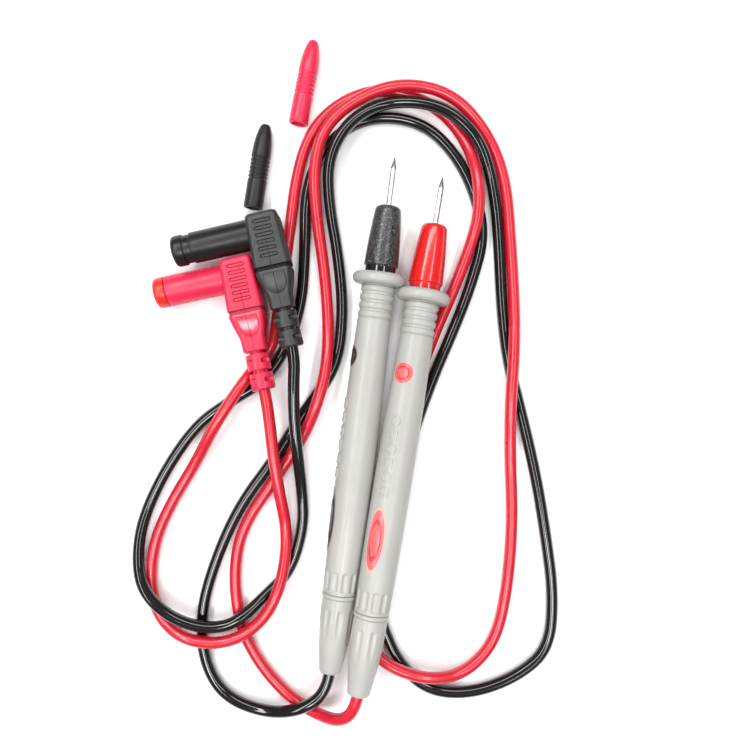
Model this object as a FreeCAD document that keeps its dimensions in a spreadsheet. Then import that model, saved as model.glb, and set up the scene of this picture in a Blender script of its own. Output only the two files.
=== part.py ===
"""A pair of multimeter test leads: two needle probes, two right-angle plugs, two cables, two tip covers.

The leads lie on a flat surface at z = 0, +Y towards the needles, +Z up. The origin is under the middle of
the probes and tip covers. Lengths are millimetres. Run it and it writes one STEP file per piece in parts/.
"""

import FreeCAD, Part
import math
import os

import Sketcher
from FreeCAD import Placement, Rotation, Vector

doc = FreeCAD.newDocument("test_leads")

# Driving dimensions: name, millimetres, what it is.
DIMENSIONS = [
    ("cable_radius", 1.9, "outside of the cable"),
    ("core_radius", 0.8, "bundle of copper strands"),
    ("fit_gap", 0.1, "gap round a piece that slides or turns"),
    ("overrun", 2.0, "how far a cutting tool or an inner root reaches past a surface"),
    ("needle_radius", 1.0, "probe needle"),
    ("needle_cone", 4.0, "ground point of the needle"),
    ("needle_exposed", 15.8, "needle in front of the nose"),
    ("needle_shank", 0.8, "radius of the needle inside the nose and socket"),
    ("needle_buried", 28.0, "length of the needle inside the nose and socket"),
    ("nose_length", 21.3, "coloured nose, band included"),
    ("nose_tip_radius", 4.0, "nose just behind its rounded rim"),
    ("nose_rim", 1.5, "rounding of the nose's front rim"),
    ("nose_base_radius", 5.45, "widest part of the nose"),
    ("nose_curve", 85.0, "bulge of the nose's side"),
    ("band_radius", 4.95, "glossy band behind the nose"),
    ("band_width", 2.0, "glossy band behind the nose"),
    ("band_slope", 0.35, "slope from the nose down to its band"),
    ("guard_radius", 8.5, "finger guard disc"),
    ("guard_width", 3.8, "finger guard disc"),
    ("neck_radius", 5.05, "between the neck's ribs"),
    ("neck_length", 11.0, "ribbed neck"),
    ("rib_radius", 5.4, "crest of a neck rib"),
    ("rib_first", 0.25, "from the guard to the first neck rib"),
    ("rib_pitch", 2.7, "from one neck rib to the next"),
    ("rib_slope", 0.45, "sloping side of a neck rib"),
    ("rib_crest", 1.2, "flat crest of a neck rib"),
    ("neck_lip", 0.1, "slope from the neck up to the handle"),
    ("handle_front_radius", 5.3, "handle behind the neck"),
    ("handle_mid_radius", 5.95, "handle at its widest"),
    ("handle_back_radius", 5.5, "handle in front of the tail ring"),
    ("handle_length", 87.1, "handle from neck to tail ring"),
    ("handle_curve", 1750.0, "long swell of the handle's side"),
    ("handle_bore", 2.3, "channel for the lead inside the handle"),
    ("flute_length", 6.2, "flutes near the handle's end"),
    ("flute_rim", 0.9, "plain rim between the flutes and the handle's end"),
    ("flute_radius", 1.1, "round section of a flute"),
    ("flute_depth", 0.4, "depth of a flute"),
    ("spigot_radius", 3.5, "threaded spigot for the tail cap"),
    ("spigot_length", 10.0, "threaded spigot for the tail cap"),
    ("badge_depth", 0.9, "pocket that holds a badge"),
    ("badge_proud", 0.2, "a badge stands this far out"),
    ("round_badge_drop", 0.15, "the handle is this much slimmer at the round badge"),
    ("round_badge_radius", 3.5, "round badge"),
    ("round_badge_at", 64.0, "from the needle's point to the badge"),
    ("oval_badge_half", 2.9, "half the width of the oval badge"),
    ("oval_badge_length", 20.6, "oval badge, end to end"),
    ("oval_badge_at", 116.0, "from the needle's point to its middle"),
    ("mark_at", 79.0, "first raised mark on the handle"),
    ("mark_pitch", 4.4, "from one raised mark to the next"),
    ("mark_radius", 1.6, "outside of a raised ring"),
    ("mark_square", 2.6, "outside of a raised square"),
    ("mark_line", 0.45, "width of a mark's line"),
    ("mark_proud", 0.18, "height of a mark"),
    ("mark_root", 1.2, "depth of a mark's root in the handle"),
    ("socket_radius", 2.2, "brass socket that grips the needle"),
    ("socket_length", 22.0, "brass socket that grips the needle"),
    ("socket_set_in", 0.5, "from the guard's face to the socket"),
    ("socket_crimp", 8.0, "hole in the socket for the bared core"),
    ("bared_core", 7.0, "bared core in the socket"),
    ("ring_radius", 5.65, "ring between handle and tail cap"),
    ("ring_width", 1.5, "ring between handle and tail cap"),
    ("ring_round", 0.45, "rounding of the ring"),
    ("tail_front_radius", 5.3, "tail cap beside the ring"),
    ("tail_back_radius", 3.5, "tail cap at the cable"),
    ("tail_length", 24.4, "tail cap"),
    ("tail_curve", 110.0, "bulge of the tail cap's side"),
    ("tail_round", 1.1, "rounding of the tail cap's end"),
    ("tail_hole", 2.3, "hole in the tail cap for the cable"),
    ("tail_flutes", 10.5, "flutes of the tail cap"),
    ("tail_flutes_at", 2.8, "plain band before the tail cap's flutes"),
    ("tail_overlap", 2.0, "cable tube starts this far inside the tail cap"),
    ("thread_run_out", 1.0, "tail cap's thread beyond the spigot's end"),
    ("crimp_set_in", 4.0, "from the tail ring to the crimp ring"),
    ("crimp_radius", 2.25, "ring that stops the lead pulling out"),
    ("crimp_width", 3.0, "ring that stops the lead pulling out"),
    ("cover_radius", 3.1, "tip cover"),
    ("cover_bore", 2.2, "mouth of the tip cover"),
    ("cover_needle_bore", 1.15, "narrow hole that grips the needle"),
    ("cover_length", 27.5, "tip cover"),
    ("cover_mouth", 12.0, "depth of the wide mouth"),
    ("cover_hole", 22.0, "depth of the whole hole"),
    ("cover_rim", 0.3, "rounding of the cover's mouth"),
    ("cover_nose", 9.0, "bullet nose of the tip cover"),
    ("cover_nose_curve", 24.0, "bulge of the bullet nose"),
    ("cover_taper", 2.05, "bullet nose where it rounds over"),
    ("cover_taper_at", 1.9, "from the cover's tip to that point"),
    ("cover_nose_end", 1.4, "bullet nose before its flat end"),
    ("cover_nose_round", 0.6, "from the cover's tip to that point"),
    ("cover_nose_flat", 0.6, "flat end of the bullet nose"),
    ("cover_collar", 1.2, "plain band between the nose and the grooves"),
    ("cover_groove", 0.25, "depth of a grip groove"),
    ("cover_groove_third", 0.3, "width of a groove's side, and of its floor"),
    ("cover_groove_pitch", 1.3, "from one grip groove to the next"),
    ("plug_head", 5.3, "from the barrel's axis to the head end"),
    ("plug_half_thick", 6.25, "half the thickness of the plug body"),
    ("plug_head_half", 5.1, "half width at the head end"),
    ("plug_waist_half", 5.7, "half width at the groove"),
    ("plug_waist_curve", 26.0, "bulge of the sides from the groove to the neck"),
    ("plug_groove_at", 12.4, "from the barrel's axis to the groove"),
    ("plug_groove_width", 1.1, "groove across the body"),
    ("plug_groove_depth", 0.7, "groove across the body"),
    ("plug_groove_lip", 1.0, "flat between the groove and the sloping face"),
    ("plug_neck_half", 3.8, "half width of the squarish neck"),
    ("plug_shield_end", 20.0, "where the body has drawn in to the neck"),
    ("plug_neck_end", 24.8, "where the strain relief begins"),
    ("plug_edge", 1.25, "chamfer along the body's edges"),
    ("plug_corner", 1.6, "rounding of the head's corners"),
    ("slot_half", 2.8, "half the length of a finger slot"),
    ("slot_width", 1.1, "finger slot"),
    ("slot_pitch", 2.15, "from one finger slot to the next"),
    ("slot_depth", 0.6, "finger slot"),
    ("slot_first", 2.3, "first finger slot, from the barrel's axis"),
    ("relief_radius", 3.8, "strain relief"),
    ("relief_length", 12.4, "strain relief"),
    ("relief_overlap", 2.0, "cable tube ends this far inside the strain relief"),
    ("plug_jacket", 14.0, "jacket inside the plug, from the strain relief's end"),
    ("relief_first", 0.9, "from the neck to the first relief slot"),
    ("relief_slot", 1.1, "slot in the strain relief"),
    ("relief_step", 3.0, "from one relief slot to the next"),
    ("relief_web", 2.45, "what the relief's slots leave round the cable"),
    ("shroud_radius", 4.9, "rigid shroud round the pin"),
    ("shroud_bore", 4.3, "inside of the shroud"),
    ("shroud_mouth", 4.6, "step inside the shroud's mouth"),
    ("shroud_mouth_depth", 2.5, "step inside the shroud's mouth"),
    ("shroud_rim", 0.3, "rounding of the shroud's mouth and of the stopper's lip"),
    ("shroud_from", 3.0, "shroud's root, from the body's axis"),
    ("shroud_floor", 1.8, "thickness of the shroud's root"),
    ("shroud_end", 23.6, "shroud's mouth, from the body's axis"),
    ("pin_radius", 1.3, "core of the banana pin"),
    ("pin_collar", 1.9, "collar of the banana pin"),
    ("pin_waist", 1.0, "pin inside its spring"),
    ("pin_tip_radius", 1.7, "solid tip of the banana pin"),
    ("pin_tip", 2.0, "solid tip of the banana pin"),
    ("pin_nose", 1.0, "rounded end of the pin's tip"),
    ("pin_nose_round", 0.7, "rounding of the pin's end"),
    ("pin_end", 21.8, "pin's tip, from the body's axis"),
    ("pin_tail", 1.2, "pin behind the body's axis"),
    ("pin_hole_depth", 3.0, "hole for the pin behind the body's axis"),
    ("spring_radius", 2.0, "lantern spring at its belly"),
    ("spring_belly", 0.45, "how far the lantern spring bellies out"),
    ("spring_curve", 34.0, "bulge of the spring's leaves"),
    ("spring_collar", 1.0, "plain collar at either end of the spring"),
    ("spring_slit", 0.35, "slit between two leaves"),
    ("spring_leaf", 7.6, "length of a leaf"),
    ("spring_wall", 0.15, "sheet of the lantern spring"),
    ("spring_length", 11.0, "lantern spring"),
    ("stopper_head", 3.8, "head of the stopper cap"),
    ("stopper_round", 1.3, "rounding of the stopper's head"),
    ("stopper_collar", 4.45, "collar under the stopper's head"),
    ("stopper_collar_length", 2.2, "collar under the stopper's head"),
    ("stopper_stem", 4.15, "stem of the stopper in the shroud"),
    ("stopper_length", 15.0, "stopper below its head"),
    ("stopper_bore", 2.3, "hole in the stopper for the pin"),
    ("stopper_hole", 16.0, "depth of that hole"),
]
HANDLE_FLUTES = 12
TAIL_FLUTES = 8
NECK_RIBS = 4
COVER_GROOVES = 6
FINGER_SLOTS = 6
RELIEF_SLOTS = 4
SPRING_LEAVES = 6
MARKS = 6

sheet = doc.addObject("Spreadsheet::Sheet", "Sizes")
for row, (name, value, meaning) in enumerate(DIMENSIONS, 1):
    sheet.set(f"A{row}", meaning)
    sheet.set(f"B{row}", str(value))
    sheet.setAlias(f"B{row}", name)
doc.recompute()


class Size:
    """A length with its value and the spreadsheet expression it comes from."""

    def __init__(self, value, text):
        self.value = float(value)
        self.text = text

    def __add__(self, other):
        other = as_size(other)
        return Size(self.value + other.value, f"({self.text} + {other.text})")

    def __sub__(self, other):
        other = as_size(other)
        return Size(self.value - other.value, f"({self.text} - {other.text})")

    def __mul__(self, number):
        return Size(self.value * number, f"({self.text} * {number})")

    def __truediv__(self, number):
        return Size(self.value / number, f"({self.text} / {number})")

    def __neg__(self):
        return Size(-self.value, f"(-({self.text}))")


def as_size(value):
    return value if isinstance(value, Size) else Size(value, f"{value}")


class Sizes:
    """Every dimension of the sheet as an attribute, such as dim.guard_radius."""

    def __init__(self):
        for name, value, _ in DIMENSIONS:
            setattr(self, name, Size(value, f"Sizes.{name}"))


dim = Sizes()


def bind(thing, prop, size):
    size = as_size(size)
    if "." not in prop:
        setattr(thing, prop, size.value)
    thing.setExpression(prop, f"{size.text} * 1 mm")


def place_at(thing, x=0, y=0, z=0, turn=None):
    """Puts a tool inside its piece; the three places are bound to the sheet."""
    sizes = [as_size(v) for v in (x, y, z)]
    thing.Placement = Placement(Vector(*[s.value for s in sizes]), turn or Rotation())
    for letter, size in zip("xyz", sizes):
        thing.setExpression(f".Placement.Base.{letter}", f"{size.text} * 1 mm")
    return thing


ALONG_X = Rotation(Vector(0, 1, 0), 90)
ALONG_Y = Rotation(Vector(1, 0, 0), -90)


def cylinder(name, radius, length, x=0, y=0, z=0, turn=None):
    rod = doc.addObject("Part::Cylinder", name)
    bind(rod, "Radius", radius)
    bind(rod, "Height", length)
    return place_at(rod, x, y, z, turn)


def block(name, length, width, height, x=0, y=0, z=0):
    """A box centred on x, y, z."""
    box = doc.addObject("Part::Box", name)
    length, width, height = as_size(length), as_size(width), as_size(height)
    bind(box, "Length", length)
    bind(box, "Width", width)
    bind(box, "Height", height)
    x, y, z = as_size(x), as_size(y), as_size(z)
    return place_at(box, x - length / 2, y - width / 2, z - height / 2)


def cut(name, base, *tools):
    piece = doc.addObject("Part::Cut", name)
    piece.Base = base
    piece.Tool = tools[0] if len(tools) == 1 else join(name + "_tools", *tools)
    return piece


def join(name, *shapes):
    piece = doc.addObject("Part::MultiFuse", name)
    piece.Shapes = list(shapes)
    return piece


def overlap_of(name, first, second):
    piece = doc.addObject("Part::MultiCommon", name)
    piece.Shapes = [first, second]
    return piece


def draw_outline(sketch, points):
    """Draws a closed outline and pins every corner to the sheet.

    A point is (x, y) or (x, y, radius): with a radius, an arc that bulges outwards leads to the next
    point, and a negative radius bulges inwards. Corners run anticlockwise.
    """
    corners = [(as_size(p[0]), as_size(p[1])) for p in points]
    spots = [Vector(x.value, y.value, 0) for x, y in corners]
    ends = []
    for i, start in enumerate(spots):
        stop = spots[(i + 1) % len(spots)]
        if len(points[i]) == 2:
            edge = sketch.addGeometry(Part.LineSegment(start, stop), False)
            ends.append((edge, 1, 2))
            continue
        size = as_size(points[i][2])
        radius, bulge = abs(size.value), math.copysign(1, size.value)
        middle, chord = (start + stop) * 0.5, stop - start
        normal = Vector(-chord.y, chord.x, 0).normalize() * bulge
        centre = middle + normal * math.sqrt(max(radius**2 - (chord.Length / 2) ** 2, 0))
        first, last = (start, stop) if bulge > 0 else (stop, start)
        angles = [math.atan2(p.y - centre.y, p.x - centre.x) for p in (first, last)]
        if angles[1] < angles[0]:
            angles[1] += 2 * math.pi
        circle = Part.Circle(centre, Vector(0, 0, 1), radius)
        edge = sketch.addGeometry(Part.ArcOfCircle(circle, *angles), False)
        number = sketch.addConstraint(Sketcher.Constraint("Radius", edge, radius))
        sketch.setExpression(f"Constraints[{number}]", f"abs({size.text}) * 1 mm")
        ends.append((edge, 1, 2) if bulge > 0 else (edge, 2, 1))
    for i, (edge, _, stop_point) in enumerate(ends):
        following = ends[(i + 1) % len(ends)]
        sketch.addConstraint(
            Sketcher.Constraint("Coincident", edge, stop_point, following[0], following[1])
        )
    for (edge, start_point, _), (x, y) in zip(ends, corners):
        for kind, axis, size in (("DistanceX", -2, x), ("DistanceY", -1, y)):
            if abs(size.value) < 1e-9:
                sketch.addConstraint(Sketcher.Constraint("PointOnObject", edge, start_point, axis))
                continue
            number = sketch.addConstraint(
                Sketcher.Constraint(kind, -1, 1, edge, start_point, size.value)
            )
            sketch.setExpression(f"Constraints[{number}]", f"{size.text} * 1 mm")


def new_sketch(body, name, plane, points):
    sketch = body.newObject("Sketcher::SketchObject", name)
    origin_plane = [f for f in body.Origin.OriginFeatures if f.Role == plane][0]
    sketch.AttachmentSupport = (origin_plane, [""])
    sketch.MapMode = "FlatFace"
    draw_outline(sketch, points)
    return sketch


def turned(name, points):
    """A body spun about its own Z axis from (radius, height) points."""
    body = doc.addObject("PartDesign::Body", name)
    sketch = new_sketch(body, name + "_outline", "XZ_Plane", points)
    spin = body.newObject("PartDesign::Revolution", name + "_spin")
    spin.Profile = sketch
    spin.ReferenceAxis = (sketch, ["V_Axis"])
    spin.Angle = 360
    return body


def padded(name, points, length):
    """A body padded both ways from the XY plane."""
    body = doc.addObject("PartDesign::Body", name)
    sketch = new_sketch(body, name + "_outline", "XY_Plane", points)
    pad = body.newObject("PartDesign::Pad", name + "_pad")
    pad.Profile = sketch
    bind(pad, "Length", length)
    pad.SideType = "Symmetric"
    return body


# ---------------------------------------------------------------- places of the probes and plugs

UP = Vector(0, 0, 1)


def placement_from(origin, x_axis, z_axis):
    """A placement whose own X and Z axes point as given."""
    z_axis = Vector(z_axis).normalize()
    y_axis = z_axis.cross(x_axis).normalize()
    return Placement(origin, Rotation(y_axis.cross(z_axis), y_axis, z_axis, "ZXY"))


def probe_place(tip, tail, roll):
    """Own Z runs from the needle's point to the tail; own X, the badge side, is turned from up."""
    axis = (tail - tip).normalize()
    upright = (UP - axis * UP.dot(axis)).normalize()
    badge_side = Rotation(axis, roll).multVec(upright)
    return placement_from(tip, badge_side, axis)


def plug_place(head, angle, lift):
    """Own Y points at the head end, own X away from the shroud, and the body lies flat."""
    turn = Rotation(UP, angle) * Rotation(Vector(1, 0, 0), -lift)
    return Placement(head - turn.multVec(Vector(0, dim.plug_head.value, 0)), turn)


PROBES = {
    "red": probe_place(Vector(31.6, 58.2, 7.28), Vector(4.7, -104.6, 12.6), 28),
    "black": probe_place(Vector(16.3, 63.9, 9.15), Vector(-4.4, -99.7, 6.43), 79),
}
PLUGS = {
    "red": plug_place(Vector(-34.0, 31.8, 6.3), 12.2, 3.0),
    "black": plug_place(Vector(-25.4, 45.2, 10.5), 12.8, 0.0),
}
COVERS = {
    "red": (Vector(-14.9, 76.2, 3.12), Vector(5.2, 27.3, 0)),
    "black": (Vector(-29.5, 48.9, 3.12), Vector(4.2, 26.9, 0)),
}
STOPPER_OUT = {"red": 0.1, "black": 2.2}

nodes = {}


def keep(name, thing, placement):
    """Names a finished piece, which becomes one node, and puts it in its place."""
    thing.Label = name
    thing.Placement = placement
    nodes[name] = thing


# ---------------------------------------------------------------- probe pieces, own Z from the needle's point

nose_at = dim.needle_exposed
guard_at = nose_at + dim.nose_length
neck_at = guard_at + dim.guard_width
handle_at = neck_at + dim.neck_length
ring_at = handle_at + dim.handle_length
tail_at = ring_at + dim.ring_width
tail_end = tail_at + dim.tail_length
socket_at = guard_at + dim.socket_set_in
socket_end = socket_at + dim.socket_length


def make_needle(name):
    end = nose_at + dim.needle_buried
    return turned(
        name,
        [(0, 0), (dim.needle_radius, dim.needle_cone), (dim.needle_radius, nose_at),
         (dim.needle_shank, nose_at), (dim.needle_shank, end), (0, end)],
    )


def make_nose(name):
    band_at = guard_at - dim.band_width
    hole = dim.needle_shank + dim.fit_gap / 2
    return turned(
        name,
        [
            (hole, nose_at),
            (dim.nose_tip_radius - dim.nose_rim, nose_at, dim.nose_rim),
            (dim.nose_tip_radius, nose_at + dim.nose_rim, dim.nose_curve),
            (dim.nose_base_radius, band_at - dim.band_slope),
            (dim.band_radius, band_at),
            (dim.band_radius, guard_at),
            (hole, guard_at),
        ],
    )


def make_socket(name):
    grip = dim.needle_shank + dim.fit_gap / 5
    needle_end = nose_at + dim.needle_buried + dim.fit_gap * 2
    crimp_floor = socket_end - dim.socket_crimp
    crimp = dim.core_radius + dim.fit_gap / 2
    return turned(
        name,
        [
            (grip, socket_at),
            (dim.socket_radius, socket_at),
            (dim.socket_radius, socket_end),
            (crimp, socket_end),
            (crimp, crimp_floor),
            (0, crimp_floor),
            (0, needle_end),
            (grip, needle_end),
        ],
    )


def flute_cutters(name, count, radius_at, start, length):
    """Round grooves along the barrel, spaced evenly."""
    tools = []
    for i in range(count):
        angle = Rotation(UP, 360 * i / count)
        reach = angle.multVec(Vector(radius_at.value + dim.flute_radius.value - dim.flute_depth.value, 0, 0))
        tools.append(cylinder(f"{name}_flute_{i}", dim.flute_radius, length, reach.x, reach.y, start))
    return tools


def oval_column(name, half_wide, half_long, at, low, high):
    """An oval column along own X, from low to high."""
    outline = doc.addObject("Part::Ellipse", name + "_outline")
    bind(outline, "MajorRadius", half_long)
    bind(outline, "MinorRadius", half_wide)
    place_at(outline, low, 0, at, ALONG_X)
    column = doc.addObject("Part::Extrusion", name)
    column.Base = outline
    column.DirMode = "Custom"
    column.Dir = Vector(1, 0, 0)
    column.Solid = True
    bind(column, "LengthFwd", high - low)
    return column


def make_mark(name, at, round_mark):
    """A raised ring or a raised square outline on the badge side, standing a little proud."""
    low, high = dim.handle_mid_radius - dim.mark_root, dim.handle_mid_radius + dim.overrun
    if round_mark:
        outer = cylinder(name + "_outer", dim.mark_radius, high - low, low, 0, at, ALONG_X)
        hole = cylinder(name + "_hole", dim.mark_radius - dim.mark_line, high - low, low, 0, at, ALONG_X)
    else:
        wide = dim.mark_square
        narrow = wide - dim.mark_line * 2
        outer = block(name + "_outer", high - low, wide, wide, (low + high) / 2, 0, at)
        hole = block(name + "_hole", high - low, narrow, narrow, (low + high) / 2, 0, at)
    return cut(name, outer, hole)


def make_handle(name):
    points = [
        (dim.handle_bore, guard_at),
        (dim.guard_radius - dim.guard_width / 2, guard_at, dim.guard_width / 2),
        (dim.guard_radius - dim.guard_width / 2, neck_at),
        (dim.neck_radius, neck_at),
    ]
    for rib in range(NECK_RIBS):
        start = neck_at + dim.rib_first + dim.rib_pitch * rib
        points += [
            (dim.neck_radius, start),
            (dim.rib_radius, start + dim.rib_slope),
            (dim.rib_radius, start + dim.rib_slope + dim.rib_crest),
            (dim.neck_radius, start + dim.rib_slope * 2 + dim.rib_crest),
        ]
    points += [
        (dim.neck_radius, handle_at - dim.neck_lip),
        (dim.handle_front_radius, handle_at, dim.handle_curve),
        (dim.handle_back_radius, ring_at),
        (dim.spigot_radius, ring_at),
        (dim.spigot_radius, ring_at + dim.spigot_length),
        (dim.handle_bore, ring_at + dim.spigot_length),
    ]
    barrel = turned(name + "_barrel", points)
    marks = [make_mark(f"{name}_mark_{i}", dim.mark_at + dim.mark_pitch * i, i % 2 == 0)
             for i in range(MARKS)]
    skin = cylinder(name + "_skin", dim.handle_mid_radius + dim.mark_proud, dim.mark_pitch * (MARKS + 1),
                    0, 0, dim.mark_at - dim.mark_pitch)
    raised = overlap_of(name + "_marks", join(name + "_mark_set", *marks), skin)
    solid = join(name + "_solid", barrel, raised)
    floor = dim.handle_mid_radius - dim.badge_depth
    outside = dim.handle_mid_radius + dim.overrun
    round_pocket = cylinder(name + "_round_pocket", dim.round_badge_radius + dim.fit_gap,
                            outside - floor, floor, 0, dim.round_badge_at, ALONG_X)
    oval_pocket = oval_column(name + "_oval_pocket", dim.oval_badge_half + dim.fit_gap,
                              dim.oval_badge_length / 2 + dim.fit_gap, dim.oval_badge_at, floor, outside)
    flutes_at = ring_at - dim.flute_rim - dim.flute_length
    flutes = flute_cutters(name, HANDLE_FLUTES, dim.handle_back_radius, flutes_at, dim.flute_length)
    return cut(name, solid, round_pocket, oval_pocket, *flutes)


def make_round_badge(name):
    floor = dim.handle_mid_radius - dim.badge_depth
    disc = cylinder(name + "_disc", dim.round_badge_radius, dim.badge_depth + dim.overrun, floor, 0,
                    dim.round_badge_at, ALONG_X)
    skin = cylinder(name + "_skin", dim.handle_mid_radius - dim.round_badge_drop + dim.badge_proud,
                    dim.round_badge_radius * 4, 0, 0, dim.round_badge_at - dim.round_badge_radius * 2)
    return overlap_of(name, disc, skin)


def make_oval_badge(name):
    floor = dim.handle_mid_radius - dim.badge_depth
    plate = oval_column(name + "_plate", dim.oval_badge_half, dim.oval_badge_length / 2,
                        dim.oval_badge_at, floor, dim.handle_mid_radius + dim.overrun)
    skin = cylinder(name + "_skin", dim.handle_mid_radius + dim.badge_proud, dim.oval_badge_length * 2,
                    0, 0, dim.oval_badge_at - dim.oval_badge_length)
    return overlap_of(name, plate, skin)


def make_inner_lead(name):
    """The cable's end inside the handle, with its bared core in the socket."""
    jacket_at = socket_end + dim.fit_gap * 2
    core_at = jacket_at - dim.bared_core
    end = tail_end - dim.tail_overlap
    return turned(
        name,
        [(0, core_at), (dim.core_radius, core_at), (dim.core_radius, jacket_at),
         (dim.cable_radius, jacket_at), (dim.cable_radius, end), (0, end)],
    )


def make_crimp(name):
    start = ring_at + dim.crimp_set_in
    inner = dim.cable_radius
    return turned(
        name,
        [(inner, start), (dim.crimp_radius, start), (dim.crimp_radius, start + dim.crimp_width),
         (inner, start + dim.crimp_width)],
    )


def make_tail_ring(name):
    bore = dim.spigot_radius + dim.fit_gap
    start, end = ring_at + dim.fit_gap, tail_at
    edge = dim.ring_radius - dim.ring_round
    return turned(
        name,
        [(bore, start), (edge, start, dim.ring_round), (dim.ring_radius, start + dim.ring_round),
         (dim.ring_radius, end - dim.ring_round, dim.ring_round), (edge, end), (bore, end)],
    )


def make_tail_cap(name):
    start = tail_at + dim.fit_gap
    thread = dim.spigot_radius + dim.fit_gap * 1.5
    thread_end = ring_at + dim.spigot_length + dim.thread_run_out
    edge = dim.tail_back_radius - dim.tail_round
    shell = turned(
        name + "_shell",
        [
            (thread, start),
            (dim.tail_front_radius, start, dim.tail_curve),
            (dim.tail_back_radius, tail_end - dim.tail_round, dim.tail_round),
            (edge, tail_end),
            (dim.tail_hole, tail_end),
            (dim.tail_hole, thread_end),
            (thread, thread_end),
        ],
    )
    flutes = flute_cutters(name, TAIL_FLUTES, dim.tail_front_radius - dim.fit_gap,
                           start + dim.tail_flutes_at, dim.tail_flutes)
    return cut(name, shell, *flutes)


# ---------------------------------------------------------------- tip cover, own Z from the mouth

def make_cover(name):
    nose_start = dim.cover_length - dim.cover_nose
    groove_start = nose_start - dim.cover_collar - dim.cover_groove_pitch * COVER_GROOVES
    groove_floor = dim.cover_radius - dim.cover_groove
    points = [(dim.cover_bore, 0), (dim.cover_radius - dim.cover_rim, 0, dim.cover_rim),
              (dim.cover_radius, dim.cover_rim)]
    for groove in range(COVER_GROOVES):
        start = groove_start + dim.cover_groove_pitch * groove
        points += [
            (dim.cover_radius, start),
            (groove_floor, start + dim.cover_groove_third),
            (groove_floor, start + dim.cover_groove_third * 2),
            (dim.cover_radius, start + dim.cover_groove_third * 3),
        ]
    points += [
        (dim.cover_radius, nose_start, dim.cover_nose_curve),
        (dim.cover_taper, dim.cover_length - dim.cover_taper_at),
        (dim.cover_nose_end, dim.cover_length - dim.cover_nose_round),
        (dim.cover_nose_flat, dim.cover_length),
        (0, dim.cover_length),
        (0, dim.cover_hole),
        (dim.cover_needle_bore, dim.cover_hole),
        (dim.cover_needle_bore, dim.cover_mouth),
        (dim.cover_bore, dim.cover_mouth),
    ]
    return turned(name, points)


# ---------------------------------------------------------------- plug pieces, own X away from the shroud

def make_plug_body(name):
    head, waist, neck = dim.plug_head_half, dim.plug_waist_half, dim.plug_neck_half
    corner, top = dim.plug_corner, dim.plug_head
    groove, shield = -dim.plug_groove_at, -dim.plug_shield_end
    end = -dim.plug_neck_end
    block_body = padded(
        name + "_block",
        [
            (neck, shield, dim.plug_waist_curve),
            (waist, groove),
            (head, top - corner, corner),
            (head - corner, top),
            (-head + corner, top, corner),
            (-head, top - corner),
            (-waist, groove, dim.plug_waist_curve),
            (-neck, shield),
        ],
        dim.plug_half_thick * 2,
    )
    doc.recompute()
    rims = [f"Edge{i + 1}" for i, e in enumerate(block_body.Shape.Edges)
            if abs(abs(e.CenterOfMass.z) - dim.plug_half_thick.value) < 1e-6
            and e.CenterOfMass.y > shield.value + dim.fit_gap.value]
    pad = block_body.Tip
    bevel = block_body.newObject("PartDesign::Chamfer", name + "_bevel")
    bevel.Base = (pad, rims)
    bind(bevel, "Size", dim.plug_edge)
    block_body.Tip = bevel
    tapers = [taper_cutter(f"{name}_taper_{side + 1}", side) for side in (-1, 1)]
    neck_block = block(name + "_neck", neck * 2, shield - end + dim.overrun, neck * 2,
                       0, (shield + end + dim.overrun) / 2, 0)
    relief = cylinder(name + "_relief", dim.relief_radius, dim.relief_length,
                      0, end - dim.relief_length, 0, ALONG_Y)
    solid = join(name + "_solid", cut(name + "_tapered", block_body, *tapers), neck_block, relief)
    tools = []
    for i in range(FINGER_SLOTS):
        at = dim.slot_first - dim.slot_pitch * i
        for side in (-1, 1):
            tools.append(finger_slot(f"{name}_slot_{i}_{side + 1}", at, dim.plug_half_thick * side))
    for side in (-1, 1):
        tools.append(block(f"{name}_groove_{side + 1}", waist * 3, dim.plug_groove_width,
                           dim.plug_groove_depth * 2, 0, groove, dim.plug_half_thick * side))
    tools += relief_cutters(name, end)
    tools.append(cylinder(name + "_barrel_hole", dim.shroud_radius, dim.shroud_end,
                          -dim.shroud_from - dim.shroud_end, 0, 0, ALONG_X))
    pin_hole_from = dim.shroud_from + dim.overrun
    tools.append(cylinder(name + "_pin_hole", dim.pin_radius, dim.pin_hole_depth + pin_hole_from,
                          -pin_hole_from, 0, 0, ALONG_X))
    wire_end = end - dim.relief_length
    tools.append(cylinder(name + "_cable_hole", dim.cable_radius, dim.plug_jacket, 0, wire_end, 0, ALONG_Y))
    core_hole_end = -dim.pin_radius + dim.fit_gap
    tools.append(cylinder(name + "_core_hole", dim.core_radius, core_hole_end - wire_end,
                          0, wire_end, 0, ALONG_Y))
    return cut(name, solid, *tools)


def taper_cutter(name, side):
    """A box that slopes the body's face from the groove down to the neck, above or below."""
    rise = dim.plug_half_thick.value - dim.plug_neck_half.value
    start = dim.plug_groove_at.value + dim.plug_groove_lip.value
    slope = math.degrees(math.atan2(rise, dim.plug_shield_end.value - start))
    reach = dim.plug_neck_end
    box = doc.addObject("Part::Box", name)
    for length in ("Length", "Width", "Height"):
        bind(box, length, reach)
    corner = Vector(0, -start, dim.plug_half_thick.value * side)
    turn = Rotation(Vector(1, 0, 0), slope * side)
    low = 0 if side > 0 else -reach.value
    box.Placement = Placement(corner + turn.multVec(Vector(-reach.value / 2, -reach.value, low)), turn)
    return box


def finger_slot(name, at, height):
    """A rounded slot across the body's face."""
    half = dim.slot_half - dim.slot_width / 2
    ends = [cylinder(f"{name}_end_{i}", dim.slot_width / 2, dim.slot_depth * 2,
                     half * s, at, height - dim.slot_depth) for i, s in enumerate((-1, 1))]
    middle = block(f"{name}_middle", half * 2, dim.slot_width, dim.slot_depth * 2, 0, at, height)
    return join(name, *ends, middle)


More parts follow.
